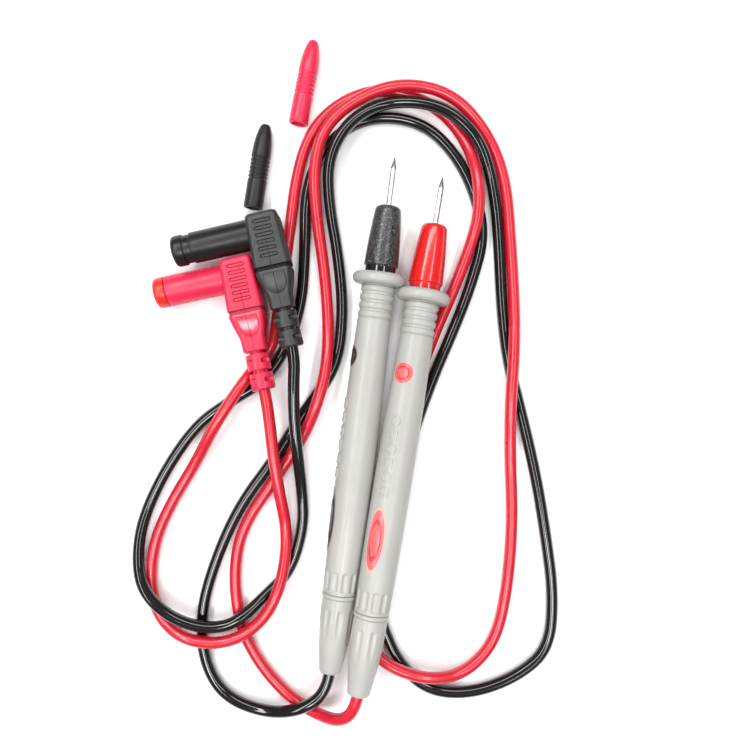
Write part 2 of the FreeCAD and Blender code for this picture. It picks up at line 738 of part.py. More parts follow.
def relief_cutters(name, start):
    """Slots that let the strain relief bend: above and below, then at the sides, in turn."""
    tools = []
    reach = dim.relief_radius * 2
    for i in range(RELIEF_SLOTS):
        at = start - dim.relief_first - dim.relief_step * i
        for side in (-1, 1):
            middle = (dim.relief_web + reach / 2) * side
            x, z = (middle, 0) if i % 2 else (0, middle)
            tools.append(block(f"{name}_cut_{i}_{side + 1}", reach, dim.relief_slot, reach, x, at, z))
    return tools


def make_shroud(name):
    """Own Z runs from the body's axis to the mouth."""
    root, mouth = dim.shroud_from, dim.shroud_end
    floor = root + dim.shroud_floor
    step = mouth - dim.shroud_mouth_depth
    return turned(
        name,
        [
            (dim.pin_radius, root),
            (dim.shroud_radius, root),
            (dim.shroud_radius, mouth - dim.shroud_rim, dim.shroud_rim),
            (dim.shroud_radius - dim.shroud_rim, mouth),
            (dim.shroud_mouth, mouth),
            (dim.shroud_mouth, step),
            (dim.shroud_bore, step),
            (dim.shroud_bore, floor),
            (dim.pin_radius, floor),
        ],
    )


def make_pin(name):
    """Own Z runs from the body's axis to the pin's tip."""
    end = dim.pin_end
    collar_at = dim.shroud_from + dim.shroud_floor
    tip_at = end - dim.pin_tip
    spring_at = tip_at - dim.fit_gap * 2 - dim.spring_length
    nose_from = end - dim.pin_nose
    return turned(
        name,
        [
            (0, -dim.pin_tail),
            (dim.pin_radius, -dim.pin_tail),
            (dim.pin_radius, collar_at),
            (dim.pin_collar, collar_at),
            (dim.pin_collar, spring_at),
            (dim.pin_waist, spring_at),
            (dim.pin_waist, tip_at),
            (dim.pin_tip_radius, tip_at),
            (dim.pin_tip_radius, nose_from, dim.pin_nose_round),
            (dim.pin_tip_radius - dim.pin_nose_round, nose_from + dim.pin_nose_round),
            (0, end),
        ],
    )


def make_spring(name):
    """A sheet sleeve that bellies out, slit into leaves."""
    start = dim.pin_end - dim.pin_tip - dim.fit_gap - dim.spring_length
    end = start + dim.spring_length - dim.fit_gap
    small = dim.spring_radius - dim.spring_belly
    wall, collar, curve = dim.spring_wall, dim.spring_collar, dim.spring_curve
    sleeve = turned(
        name + "_sleeve",
        [
            (small - wall, start),
            (small, start),
            (small, start + collar, curve),
            (small, end - collar),
            (small, end),
            (small - wall, end),
            (small - wall, end - collar, -curve),
            (small - wall, start + collar),
        ],
    )
    slits = []
    for i in range(SPRING_LEAVES // 2):
        slit = block(f"{name}_slit_{i}", dim.spring_radius * 3, dim.spring_slit, dim.spring_leaf,
                     0, 0, (start + end) / 2)
        turned_slit = doc.addObject("Part::Compound", f"{name}_turned_slit_{i}")
        turned_slit.Links = [slit]
        turned_slit.Placement = Placement(Vector(), Rotation(UP, 360 / SPRING_LEAVES * i))
        slits.append(turned_slit)
    return cut(name, sleeve, *slits)


def make_stopper(name):
    """Own Z runs outwards; the head's underside lies on the shroud's mouth."""
    mouth = dim.shroud_end
    head_end = mouth + dim.stopper_head
    inner_end = mouth - dim.stopper_length
    hole_end = inner_end + dim.stopper_hole
    edge = dim.shroud_radius - dim.stopper_round
    return turned(
        name,
        [
            (dim.stopper_bore, inner_end),
            (dim.stopper_stem, inner_end),
            (dim.stopper_stem, mouth - dim.stopper_collar_length),
            (dim.stopper_collar, mouth - dim.stopper_collar_length),
            (dim.stopper_collar, mouth),
            (dim.shroud_radius - dim.shroud_rim, mouth, dim.shroud_rim),
            (dim.shroud_radius, mouth + dim.shroud_rim),
            (dim.shroud_radius, head_end - dim.stopper_round, dim.stopper_round),
            (edge, head_end),
            (0, head_end),
            (0, hole_end),
            (dim.stopper_bore, hole_end),
        ],
    )


def make_plug_wire(name):
    """The cable's end inside the plug: jacket, then bared core up to the pin."""
    relief_end = -(dim.plug_neck_end + dim.relief_length)
    start = relief_end + dim.relief_overlap
    jacket_end = relief_end + dim.plug_jacket
    core_end = -(dim.pin_radius + dim.fit_gap / 2)
    jacket = cylinder(name + "_jacket", dim.cable_radius, jacket_end - start, 0, start, 0, ALONG_Y)
    core = cylinder(name + "_core", dim.core_radius, core_end - start, 0, start, 0, ALONG_Y)
    return join(name, jacket, core)


# ---------------------------------------------------------------- cables

# Each route is chosen by hand: where the cable turns, in millimetres. Its two ends are added from the
# tail cap's hole and the strain relief's end.
ROUTES = {
    "red": [
        (3.95, -109.2, 12.6), (-1, -114.2, 9.8), (-9.2, -114, 4.2), (-18, -109.6, 1.9),
        (-27.8, -98.6, 1.9), (-34, -86, 1.9), (-36, -70, 1.9), (-33.5, -55, 1.9), (-23, -39.5, 1.9),
        (-13, -25, 2.6), (-8.2, -13.5, 6.4), (-5.4, -2.5, 6.2), (-5.1, 11, 2.2), (-6.3, 28, 1.9),
        (-8.8, 45, 3), (-9.8, 61, 6.2), (-6.4, 74.5, 6.3), (5, 84, 6.2), (19, 88.5, 6.2), (35, 85.5, 5),
        (46.5, 74, 2), (52.5, 59, 1.9), (54.2, 38, 1.9), (55.1, 17, 3.4), (54.5, 2, 6.3),
        (53.4, -13, 6.2), (53.8, -31, 2.2), (54.8, -52, 1.9), (53, -75, 1.9), (49, -92, 1.9),
        (39, -102, 2.4), (27, -102.5, 6.2), (13.5, -98, 6.2), (4.6, -89.5, 2), (4.3, -79, 1.9),
        (7.5, -66, 1.9), (11.4, -51, 1.9), (15, -34.8, 1.9), (19.8, -18.5, 1.9), (24.7, -3.7, 1.9),
        (29.9, 9.8, 1.9), (35.5, 22.5, 1.9), (40.3, 35, 3), (43.3, 46, 6.3), (43.2, 57.5, 6.1),
        (40.4, 69.4, 2.5), (33.5, 79.3, 1.9), (23, 86, 1.9), (10, 88.2, 1.9), (-3.2, 82.8, 1.9),
        (-11.8, 72.6, 1.9), (-15.8, 58.5, 1.9), (-17.7, 42, 1.9), (-20.2, 25, 1.9), (-21.7, 14, 1.9),
        (-22.8, 5.6, 1.9), (-28.2, -1.6, 1.9), (-33.4, -9.2, 6.9), (-41.5, -21.5, 6.2),
        (-48.5, -34, 1.9), (-56, -46, 1.9), (-61.8, -59, 1.9), (-63.3, -73, 1.9), (-60, -84, 2.3),
        (-50.5, -90, 6.3), (-37, -90.9, 6.3), (-25.6, -83.8, 6.5), (-19.7, -71.7, 7), (-18.2, -57, 2.9),
        (-20.6, -42, 6.6), (-22.3, -31, 7.7), (-23.2, -21.5, 8.5), (-24.2, -13.3, 8.7),
    ],
    "black": [
        (-5.1, -105.9, 6.8), (-13.3, -111.4, 7.9), (-25.5, -114.2, 3.3), (-39.5, -109.3, 1.9),
        (-46, -97, 1.9), (-46.5, -81, 1.9), (-41.5, -64, 1.9), (-33.8, -47, 1.9), (-22.6, -32.1, 1.9),
        (-12.3, -15.7, 1.9), (-2.4, -2.5, 1.9), (-0.3, 15, 1.9), (-1.8, 33, 1.9), (-5, 51, 2.4),
        (-5, 64.5, 5.8), (1.6, 76.3, 6.4), (13.5, 83, 4.8), (28, 82, 6.3), (38.2, 76.4, 6.4),
        (45.2, 66.8, 6), (49.2, 52, 1.9), (50.4, 36, 1.9), (51.1, 18, 1.9), (53, 0, 1.9),
        (57.5, -17, 1.9), (62.3, -37.5, 1.9), (65.5, -57, 1.9), (68, -76, 1.9), (66.7, -94, 1.9),
        (56, -103.2, 1.9), (41, -108.6, 1.9), (27, -107.5, 1.9), (17.5, -98.5, 1.9), (12.6, -87, 1.9),
        (9.4, -77, 1.9), (12.5, -64, 1.9), (15.5, -50, 1.9), (19.3, -34.8, 1.9), (23.9, -19.3, 1.9),
        (29.4, -4.5, 1.9), (35.5, 9.5, 1.9), (41.2, 24, 1.9), (45.6, 40, 1.9), (42.5, 54.5, 1.9),
        (36.2, 66.8, 1.9), (26.8, 76.2, 1.9), (14, 79.3, 1.9), (1.5, 76.5, 1.9), (-8, 67, 1.9),
        (-12.6, 54, 1.9), (-12.8, 36, 1.9), (-13.8, 18, 1.9), (-18.9, 3.2, 1.9), (-26.5, -7.4, 1.9),
        (-37.5, -13.8, 1.9), (-48, -21.2, 1.9), (-58, -35.5, 1.9), (-65.5, -51.5, 1.9),
        (-66.9, -64, 3.4), (-64.3, -73.5, 6.6), (-57, -81.3, 6.6), (-47.5, -85.4, 6.3),
        (-38.5, -85.6, 6.4), (-31.8, -82.2, 6.1), (-25.6, -76.6, 2.6), (-17.3, -68.5, 1.9),
        (-13.2, -54, 1.9), (-13.6, -43, 2.8), (-14.8, -29, 6.8), (-15.7, -18, 8.6), (-15.6, -8, 10.1),
        (-15.2, 0.2, 10.5),
    ],
}


def smooth_path(points):
    """Straight runs joined by tangent arcs, each of 0.45 of its shorter run over tan(half the turn)."""
    edges, here = [], points[0]
    tightest = None
    for before, corner, after in zip(points, points[1:], points[2:]):
        into, out = corner - before, after - corner
        half_turn = into.getAngle(out) / 2
        set_back = 0.45 * min(into.Length, out.Length)
        radius = set_back / math.tan(half_turn)
        tightest = radius if tightest is None else min(radius, tightest)
        start = corner - into.normalize() * set_back
        stop = corner + out.normalize() * set_back
        bisector = (into * -1 + out).normalize()
        middle = corner + bisector * (radius / math.cos(half_turn) - radius)
        edges.append(Part.LineSegment(here, start).toShape())
        edges.append(Part.Arc(start, middle, stop).toShape())
        here = stop
    edges.append(Part.LineSegment(here, points[-1]).toShape())
    return Part.Wire(edges), tightest


def make_cable(name, points):
    path, tightest = smooth_path(points)
    section = Part.Wire(Part.Circle(points[0], points[1] - points[0], dim.cable_radius.value).toShape())
    tube = path.makePipeShell([section], True, False)
    cable = doc.addObject("Part::Feature", name)
    cable.Shape = tube
    expected = math.pi * dim.cable_radius.value**2 * path.Length
    print(f"{name}: {path.Length:.0f} mm, tightest bend {tightest:.1f} mm, "
          f"volume over section x length {tube.Volume / expected:.4f}")
    return cable


# ---------------------------------------------------------------- the two leads

SHROUD_TURN = Placement(Vector(), Rotation(Vector(0, 1, 0), -90))

for colour in ("red", "black"):
    probe = PROBES[colour]
    keep(f"{colour}_needle", make_needle(f"{colour}_needle"), probe)
    keep(f"{colour}_nose_cone", make_nose(f"{colour}_nose_cone"), probe)
    keep(f"{colour}_needle_socket", make_socket(f"{colour}_needle_socket"), probe)
    keep(f"{colour}_handle", make_handle(f"{colour}_handle"), probe)
    keep(f"{colour}_round_badge", make_round_badge(f"{colour}_round_badge"), probe)
    keep(f"{colour}_oval_badge", make_oval_badge(f"{colour}_oval_badge"), probe)
    keep(f"{colour}_inner_lead", make_inner_lead(f"{colour}_inner_lead"), probe)
    keep(f"{colour}_crimp_ring", make_crimp(f"{colour}_crimp_ring"), probe)
    keep(f"{colour}_tail_ring", make_tail_ring(f"{colour}_tail_ring"), probe)
    keep(f"{colour}_tail_cap", make_tail_cap(f"{colour}_tail_cap"), probe)

    plug = PLUGS[colour]
    barrel = plug * SHROUD_TURN
    keep(f"{colour}_plug_body", make_plug_body(f"{colour}_plug_body"), plug)
    keep(f"{colour}_plug_wire", make_plug_wire(f"{colour}_plug_wire"), plug)
    keep(f"{colour}_plug_shroud", make_shroud(f"{colour}_plug_shroud"), barrel)
    keep(f"{colour}_banana_pin", make_pin(f"{colour}_banana_pin"), barrel)
    keep(f"{colour}_lantern_spring", make_spring(f"{colour}_lantern_spring"), barrel)
    pulled_out = Placement(Vector(0, 0, STOPPER_OUT[colour]), Rotation())
    keep(f"{colour}_plug_stopper", make_stopper(f"{colour}_plug_stopper"), barrel * pulled_out)

    mouth, along = COVERS[colour]
    keep(f"{colour}_tip_cover", make_cover(f"{colour}_tip_cover"), placement_from(mouth, UP, along))

    tail = probe.multVec(Vector(0, 0, (tail_end - dim.tail_overlap).value))
    relief_end = dim.plug_neck_end + dim.relief_length - dim.relief_overlap
    plug_end = plug.multVec(Vector(0, -relief_end.value, 0))
    route = [tail] + [Vector(*point) for point in ROUTES[colour]] + [plug_end]
    keep(f"{colour}_cable", make_cable(f"{colour}_cable", route), Placement())

doc.recompute()

# ---------------------------------------------------------------- checks, then one STEP file per piece

faults = [thing.Name for thing in doc.Objects if {"Invalid", "Error"} & set(thing.State)]
faults += [name for name, thing in nodes.items() if thing.Shape.isNull() or not thing.Shape.isValid()]
if faults:
    raise RuntimeError(f"these objects failed: {faults}")

os.makedirs("parts", exist_ok=True)
for name, thing in nodes.items():
    solids = len(thing.Shape.Solids)
    if solids != 1:
        raise RuntimeError(f"{name} has {solids} solids")
    thing.Shape.exportStep(os.path.join("parts", name + ".step"))
print(f"{len(nodes)} pieces written")
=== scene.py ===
"""The looks of a pair of multimeter test leads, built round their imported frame.

Each probe, plug and cover is made in its own millimetres about its own axis and then put in its place, so
every finished object sits at the origin. Two leads share every shape and differ in colour and place.
"""

import math

import bmesh
import bpy
from mathutils import Matrix, Vector


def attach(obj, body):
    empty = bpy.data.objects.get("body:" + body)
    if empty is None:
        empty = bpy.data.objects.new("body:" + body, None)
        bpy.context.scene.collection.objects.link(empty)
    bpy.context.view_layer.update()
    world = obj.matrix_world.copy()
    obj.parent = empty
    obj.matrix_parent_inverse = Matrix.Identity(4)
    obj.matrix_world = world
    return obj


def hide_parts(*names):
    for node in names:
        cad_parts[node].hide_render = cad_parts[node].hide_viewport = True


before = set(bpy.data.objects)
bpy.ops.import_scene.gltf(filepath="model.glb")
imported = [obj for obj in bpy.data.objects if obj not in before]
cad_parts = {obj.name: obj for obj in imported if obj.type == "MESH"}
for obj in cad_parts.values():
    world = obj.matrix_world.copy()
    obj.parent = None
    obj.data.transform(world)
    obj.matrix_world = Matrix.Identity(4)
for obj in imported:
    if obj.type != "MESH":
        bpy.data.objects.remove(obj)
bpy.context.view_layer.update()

bl_info = {
    "name": "Multimeter Test Leads",
    "version": (1, 0, 0),
    "blender": (4, 5, 0),
    "location": "View3D > Sidebar > Test Leads",
    "description": "Builds a pair of multimeter test leads with probes, plugs, cables and tip covers",
    "category": "Add Mesh",
}

MM = 0.001
COLOURS = ("red", "black")

# Where each lead's pieces lie, in millimetres and degrees.
PROBES = {
    "red": {"tip": (31.6, 58.2, 7.28), "tail": (4.7, -104.6, 12.6), "roll": 28},
    "black": {"tip": (16.3, 63.9, 9.15), "tail": (-4.4, -99.7, 6.43), "roll": 79},
}
PLUGS = {
    "red": {"head": (-34.0, 31.8, 6.3), "angle": 12.2, "lift": 3.0, "stopper_out": 0.1},
    "black": {"head": (-25.4, 45.2, 10.5), "angle": 12.8, "lift": 0.0, "stopper_out": 2.2},
}
COVERS = {
    "red": {"mouth": (-14.9, 76.2, 3.12), "along": (5.2, 27.3, 0)},
    "black": {"mouth": (-29.5, 48.9, 3.12), "along": (4.2, 26.9, 0)},
}

# Each cable's route, in metres.
ROUTES = {
    "red": [
        (0.00505, -0.1026, 0.0125), (0.00395, -0.1092, 0.0126), (-0.001, -0.1142, 0.0098),
        (-0.0092, -0.114, 0.0042), (-0.018, -0.1096, 0.0019), (-0.0278, -0.0986, 0.0019),
        (-0.034, -0.086, 0.0019), (-0.036, -0.07, 0.0019), (-0.0335, -0.055, 0.0019),
        (-0.023, -0.0395, 0.0019), (-0.013, -0.025, 0.0026), (-0.0082, -0.0135, 0.0064),
        (-0.0054, -0.0025, 0.0062), (-0.0051, 0.011, 0.0022), (-0.0063, 0.028, 0.0019),
        (-0.0088, 0.045, 0.003), (-0.0098, 0.061, 0.0062), (-0.0064, 0.0745, 0.0063),
        (0.005, 0.084, 0.0062), (0.019, 0.0885, 0.0062), (0.035, 0.0855, 0.005), (0.0465, 0.074, 0.002),
        (0.0525, 0.059, 0.0019), (0.0542, 0.038, 0.0019), (0.0551, 0.017, 0.0034), (0.0545, 0.002, 0.0063),
        (0.0534, -0.013, 0.0062), (0.0538, -0.031, 0.0022), (0.0548, -0.052, 0.0019),
        (0.053, -0.075, 0.0019), (0.049, -0.092, 0.0019), (0.039, -0.102, 0.0024), (0.027, -0.1025, 0.0062),
        (0.0135, -0.098, 0.0062), (0.0046, -0.0895, 0.002), (0.0043, -0.079, 0.0019),
        (0.0075, -0.066, 0.0019), (0.0114, -0.051, 0.0019), (0.015, -0.0348, 0.0019),
        (0.0198, -0.0185, 0.0019), (0.0247, -0.0037, 0.0019), (0.0299, 0.0098, 0.0019),
        (0.0355, 0.0225, 0.0019), (0.0403, 0.035, 0.003), (0.0433, 0.046, 0.0063), (0.0432, 0.0575, 0.0061),
        (0.0404, 0.0694, 0.0025), (0.0335, 0.0793, 0.0019), (0.023, 0.086, 0.0019), (0.01, 0.0882, 0.0019),
        (-0.0032, 0.0828, 0.0019), (-0.0118, 0.0726, 0.0019), (-0.0158, 0.0585, 0.0019),
        (-0.0177, 0.042, 0.0019), (-0.0202, 0.025, 0.0019), (-0.0217, 0.014, 0.0019),
        (-0.0228, 0.0056, 0.0019), (-0.0282, -0.0016, 0.0019), (-0.0334, -0.0092, 0.0069),
        (-0.0415, -0.0215, 0.0062), (-0.0485, -0.034, 0.0019), (-0.056, -0.046, 0.0019),
        (-0.0618, -0.059, 0.0019), (-0.0633, -0.073, 0.0019), (-0.06, -0.084, 0.0023),
        (-0.0505, -0.09, 0.0063), (-0.037, -0.0909, 0.0063), (-0.0256, -0.0838, 0.0065),
        (-0.0197, -0.0717, 0.007), (-0.0182, -0.057, 0.0029), (-0.0206, -0.042, 0.0066),
        (-0.0223, -0.031, 0.0077), (-0.0232, -0.0215, 0.0085), (-0.0242, -0.0133, 0.0087),
        (-0.02545, -0.0077, 0.0084),
    ],
    "black": [
        (-0.00415, -0.0977, 0.0064), (-0.0051, -0.1059, 0.0068), (-0.0133, -0.1114, 0.0079),
        (-0.0255, -0.1142, 0.0033), (-0.0395, -0.1093, 0.0019), (-0.046, -0.097, 0.0019),
        (-0.0465, -0.081, 0.0019), (-0.0415, -0.064, 0.0019), (-0.0338, -0.047, 0.0019),
        (-0.0226, -0.0321, 0.0019), (-0.0123, -0.0157, 0.0019), (-0.0024, -0.0025, 0.0019),
        (-0.0003, 0.015, 0.0019), (-0.0018, 0.033, 0.0019), (-0.005, 0.051, 0.0024),
        (-0.005, 0.0645, 0.0058), (0.0016, 0.0763, 0.0064), (0.0135, 0.083, 0.0048), (0.028, 0.082, 0.0063),
        (0.0382, 0.0764, 0.0064), (0.0452, 0.0668, 0.006), (0.0492, 0.052, 0.0019), (0.0504, 0.036, 0.0019),
        (0.0511, 0.018, 0.0019), (0.053, 0.0, 0.0019), (0.0575, -0.017, 0.0019), (0.0623, -0.0375, 0.0019),
        (0.0655, -0.057, 0.0019), (0.068, -0.076, 0.0019), (0.0667, -0.094, 0.0019),
        (0.056, -0.1032, 0.0019), (0.041, -0.1086, 0.0019), (0.027, -0.1075, 0.0019),
        (0.0175, -0.0985, 0.0019), (0.0126, -0.087, 0.0019), (0.0094, -0.077, 0.0019),
        (0.0125, -0.064, 0.0019), (0.0155, -0.05, 0.0019), (0.0193, -0.0348, 0.0019),
        (0.0239, -0.0193, 0.0019), (0.0294, -0.0045, 0.0019), (0.0355, 0.0095, 0.0019),
        (0.0412, 0.024, 0.0019), (0.0456, 0.04, 0.0019), (0.0425, 0.0545, 0.0019), (0.0362, 0.0668, 0.0019),
        (0.0268, 0.0762, 0.0019), (0.014, 0.0793, 0.0019), (0.0015, 0.0765, 0.0019),
        (-0.008, 0.067, 0.0019), (-0.0126, 0.054, 0.0019), (-0.0128, 0.036, 0.0019),
        (-0.0138, 0.018, 0.0019), (-0.0189, 0.0032, 0.0019), (-0.0265, -0.0074, 0.0019),
        (-0.0375, -0.0138, 0.0019), (-0.048, -0.0212, 0.0019), (-0.058, -0.0355, 0.0019),
        (-0.0655, -0.0515, 0.0019), (-0.0669, -0.064, 0.0034), (-0.0643, -0.0735, 0.0066),
        (-0.057, -0.0813, 0.0066), (-0.0475, -0.0854, 0.0063), (-0.0385, -0.0856, 0.0064),
        (-0.0318, -0.0822, 0.0061), (-0.0256, -0.0766, 0.0026), (-0.0173, -0.0685, 0.0019),
        (-0.0132, -0.054, 0.0019), (-0.0136, -0.043, 0.0028), (-0.0148, -0.029, 0.0068),
        (-0.0157, -0.018, 0.0086), (-0.0156, -0.008, 0.0101), (-0.0152, 0.0002, 0.0105),
        (-0.0164, 0.0057, 0.0105),
    ],
}


# ---------------------------------------------------------------- settings

class ProbeSettings(bpy.types.PropertyGroup):
    """Sizes of a probe."""

    needle_diameter: bpy.props.FloatProperty(
        name="Needle", description="Diameter of the steel needle", default=2.0 * MM, unit="LENGTH")
    guard_diameter: bpy.props.FloatProperty(
        name="Finger guard", description="Diameter of the finger guard", default=17.0 * MM, unit="LENGTH")
    handle_flutes: bpy.props.IntProperty(
        name="Handle flutes", description="Grooves round the handle's end", default=12, min=6, max=24)
    tail_flutes: bpy.props.IntProperty(
        name="Tail flutes", description="Grooves round the tail cap", default=8, min=4, max=24)


class PlugSettings(bpy.types.PropertyGroup):
    """Sizes of a plug."""

    thickness: bpy.props.FloatProperty(
        name="Thickness", description="Thickness of the plug's body", default=12.5 * MM, unit="LENGTH")
    shroud_diameter: bpy.props.FloatProperty(
        name="Shroud", description="Diameter of the barrel round the pin", default=9.8 * MM, unit="LENGTH")
    slots: bpy.props.IntProperty(
        name="Finger slots", description="Slots across the plug's face", default=6, min=0)


class CableSettings(bpy.types.PropertyGroup):
    """Size and finish of the cables."""

    diameter: bpy.props.FloatProperty(
        name="Diameter", description="Outside of the cable", default=3.8 * MM, unit="LENGTH")
    gloss: bpy.props.FloatProperty(
        name="Roughness", description="Roughness of the cable's jacket", default=0.24, min=0, max=1,
        subtype="FACTOR")


class ColourSettings(bpy.types.PropertyGroup):
    """Base colours of the moulded parts."""

    handle: bpy.props.FloatVectorProperty(
        name="Handle", description="Moulded handle", default=(0.395, 0.392, 0.372), size=3, min=0, max=1,
        subtype="COLOR")
    red_plastic: bpy.props.FloatVectorProperty(
        name="Red plug", description="Red plug, shroud and tip cover", default=(0.66, 0.012, 0.060), size=3,
        min=0, max=1, subtype="COLOR")
    red_nose: bpy.props.FloatVectorProperty(
        name="Red nose", description="Nose of the red probe", default=(0.62, 0.005, 0.006), size=3,
        min=0, max=1, subtype="COLOR")
    red_cable: bpy.props.FloatVectorProperty(
        name="Red cable", description="Jacket of the red cable", default=(0.56, 0.005, 0.022), size=3,
        min=0, max=1, subtype="COLOR")
    black_plastic: bpy.props.FloatVectorProperty(
        name="Black plastic", description="Black plug, nose and tip cover", default=(0.010, 0.0095, 0.010),
        size=3, min=0, max=1, subtype="COLOR")
    black_cable: bpy.props.FloatVectorProperty(
        name="Black cable", description="Jacket of the black cable", default=(0.004, 0.0035, 0.004), size=3,
        min=0, max=1, subtype="COLOR")


class StageSettings(bpy.types.PropertyGroup):
    """Floor, lights and camera."""

    camera_height: bpy.props.FloatProperty(
        name="Camera height", description="Height of the camera above the floor", default=242 * MM,
        unit="LENGTH")
    view_angle: bpy.props.FloatProperty(
        name="Angle of view", description="Horizontal angle of view", default=math.radians(53.87),
        subtype="ANGLE", unit="ROTATION")
    floor_colour: bpy.props.FloatVectorProperty(
        name="Floor", description="Colour of the floor", default=(0.96, 0.96, 0.96), size=3, min=0, max=1,
        subtype="COLOR")


# ---------------------------------------------------------------- places

def place_from(origin, x_axis, z_axis):
    """A matrix in metres for a piece made in millimetres, whose own X and Z point as given."""
    z_axis = Vector(z_axis).normalized()
    y_axis = z_axis.cross(Vector(x_axis)).normalized()
    x_axis = y_axis.cross(z_axis)
    turn = Matrix((x_axis, y_axis, z_axis)).transposed().to_4x4()
    return Matrix.Translation(Vector(origin) * MM) @ turn @ Matrix.Scale(MM, 4)


def probe_place(colour):
    """Own Z runs from the needle's point to the tail; own X is the badge side."""
    spot = PROBES[colour]
    axis = (Vector(spot["tail"]) - Vector(spot["tip"])).normalized()
    up = Vector((0, 0, 1))
    upright = (up - axis * up.dot(axis)).normalized()
    badge_side = Matrix.Rotation(math.radians(spot["roll"]), 3, axis) @ upright
    return place_from(spot["tip"], badge_side, axis)


def plug_place(colour):
    """Own Y points at the head end, own X away from the shroud, own Z up."""
    spot = PLUGS[colour]
    turn = Matrix.Rotation(math.radians(spot["angle"]), 4, "Z")
    turn = turn @ Matrix.Rotation(-math.radians(spot["lift"]), 4, "X")
    head = Matrix.Translation(Vector((0, -PLUG_HEAD, 0)))
    return Matrix.Translation(Vector(spot["head"]) * MM) @ turn @ Matrix.Scale(MM, 4) @ head


def barrel_place(colour):
    """Own Z runs out along the shroud from the plug body's middle."""
    return plug_place(colour) @ Matrix.Rotation(math.radians(-90), 4, "Y")


def cover_place(colour):
    spot = COVERS[colour]
    return place_from(spot["mouth"], (0, 0, 1), spot["along"])


# ---------------------------------------------------------------- mesh helpers

SAME_PLACE = 1e-5
SHARP_CORNER = math.radians(32)


def finish_piece(name, bm, place, materials):
    """Makes an object at the origin from a bmesh in millimetres, smooth but for its sharp corners."""
    bmesh.ops.remove_doubles(bm, verts=bm.verts[:], dist=SAME_PLACE)
    bmesh.ops.recalc_face_normals(bm, faces=bm.faces[:])
    bm.transform(place)
    mesh = bpy.data.meshes.new(name)
    bm.to_mesh(mesh)
    bm.free()
    mesh.shade_smooth()
    mesh.set_sharp_from_angle(angle=SHARP_CORNER)
    for material in materials:
        mesh.materials.append(material)
    piece = bpy.data.objects.new(name, mesh)
    bpy.context.collection.objects.link(piece)
    return piece


def settle(piece, body, node):
    """Says which body a piece rides on and hides the CAD node it stands for."""
    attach(piece, body)
    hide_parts(node)


def profile(bm, outline, closed):
    """Draws a profile in the XZ plane. A corner is (radius, height) or (radius, height, rounding)."""
    corners = [bm.verts.new((point[0], 0, point[1])) for point in outline]
    pairs = list(zip(corners, corners[1:]))
    if closed:
        pairs.append((corners[-1], corners[0]))
    for first, second in pairs:
        bm.edges.new((first, second))
    for corner, point in zip(corners, outline):
        if len(point) > 2:
            steps = 10 if point[2] > 3 else 5
            bmesh.ops.bevel(bm, geom=[corner], offset=point[2], offset_type="OFFSET", segments=steps,
                            profile=0.5, affect="VERTICES", material=-1)


def spun(outline, steps=96, closed=False):
    """A profile spun about Z."""
    bm = bmesh.new()
    profile(bm, outline, closed)
    bmesh.ops.spin(bm, geom=bm.verts[:] + bm.edges[:], cent=(0, 0, 0), axis=(0, 0, 1),
                   angle=math.tau, steps=steps, use_merge=True)
    bmesh.ops.remove_doubles(bm, verts=bm.verts[:], dist=SAME_PLACE)
    return bm


def add_part(bm, part, turn=None):
    """Moves another bmesh's faces into this one."""
    if turn is not None:
        part.transform(turn)
    mesh = bpy.data.meshes.new("part")
    part.to_mesh(mesh)
    part.free()
    bm.from_mesh(mesh)
    bpy.data.meshes.remove(mesh)


def moved_verts(extruded):
    return [item for item in extruded["geom"] if isinstance(item, bmesh.types.BMVert)]


def flute(bm, count, low, high, depth, fade):
    """Presses round-ended grooves into a barrel between two heights, shallower over the last stretch."""
    for vert in bm.verts:
        radius = math.hypot(vert.co.x, vert.co.y)
        to_end = min(vert.co.z - low, high - vert.co.z)
        if to_end <= 0 or radius < BARREL_SKIN:
            continue
        turn = math.atan2(vert.co.y, vert.co.x) / math.tau * count
        across = abs(turn - round(turn)) / count * math.tau * radius / FLUTE_HALF
        along = max(0.0, 1 - to_end / FLUTE_HALF)
        dip = max(0.0, 1 - across ** 2 - along ** 2)
        shallow = min(1.0, (high - vert.co.z) / fade)
        shrink = 1 - depth * dip * shallow / radius
        vert.co.x *= shrink
        vert.co.y *= shrink


def cut_away(piece, cutter):
    """Cuts one object's shape out of another and throws the cutter away."""
    cutting = piece.modifiers.new("cut", "BOOLEAN")
    cutting.operation = "DIFFERENCE"
    cutting.solver = "EXACT"
    cutting.object = cutter
    graph = bpy.context.evaluated_depsgraph_get()
    mesh = bpy.data.meshes.new_from_object(piece.evaluated_get(graph), depsgraph=graph)
    piece.modifiers.remove(cutting)
    old = piece.data
    piece.data = mesh
    mesh.name = piece.name
    bpy.data.meshes.remove(old)
    bpy.data.objects.remove(cutter)
    mesh.shade_smooth()
    mesh.set_sharp_from_angle(angle=SHARP_CORNER)


def weigh_normals(piece):
    """Keeps large flat faces flat beside their rounded edges."""
    weighted = piece.modifiers.new("even shading", "WEIGHTED_NORMAL")
    weighted.keep_sharp = True


# ---------------------------------------------------------------- materials

def start_material(name):
    material = bpy.data.materials.new(name)
    material.use_nodes = True
    tree = material.node_tree
    tree.nodes.clear()
    output = tree.nodes.new("ShaderNodeOutputMaterial")
    shader = tree.nodes.new("ShaderNodeBsdfPrincipled")
    tree.links.new(shader.outputs["BSDF"], output.inputs["Surface"])
    spots = tree.nodes.new("ShaderNodeTexCoord")
    return material, tree, shader, spots.outputs["Object"]


def noise(tree, spots, size_mm, detail=2.0, rough=0.5):
    """Noise whose features are about this many millimetres across."""
    node = tree.nodes.new("ShaderNodeTexNoise")
    node.inputs["Scale"].default_value = 1000 / size_mm
    node.inputs["Detail"].default_value = detail
    node.inputs["Roughness"].default_value = rough
    tree.links.new(spots, node.inputs["Vector"])
    return node.outputs["Fac"]


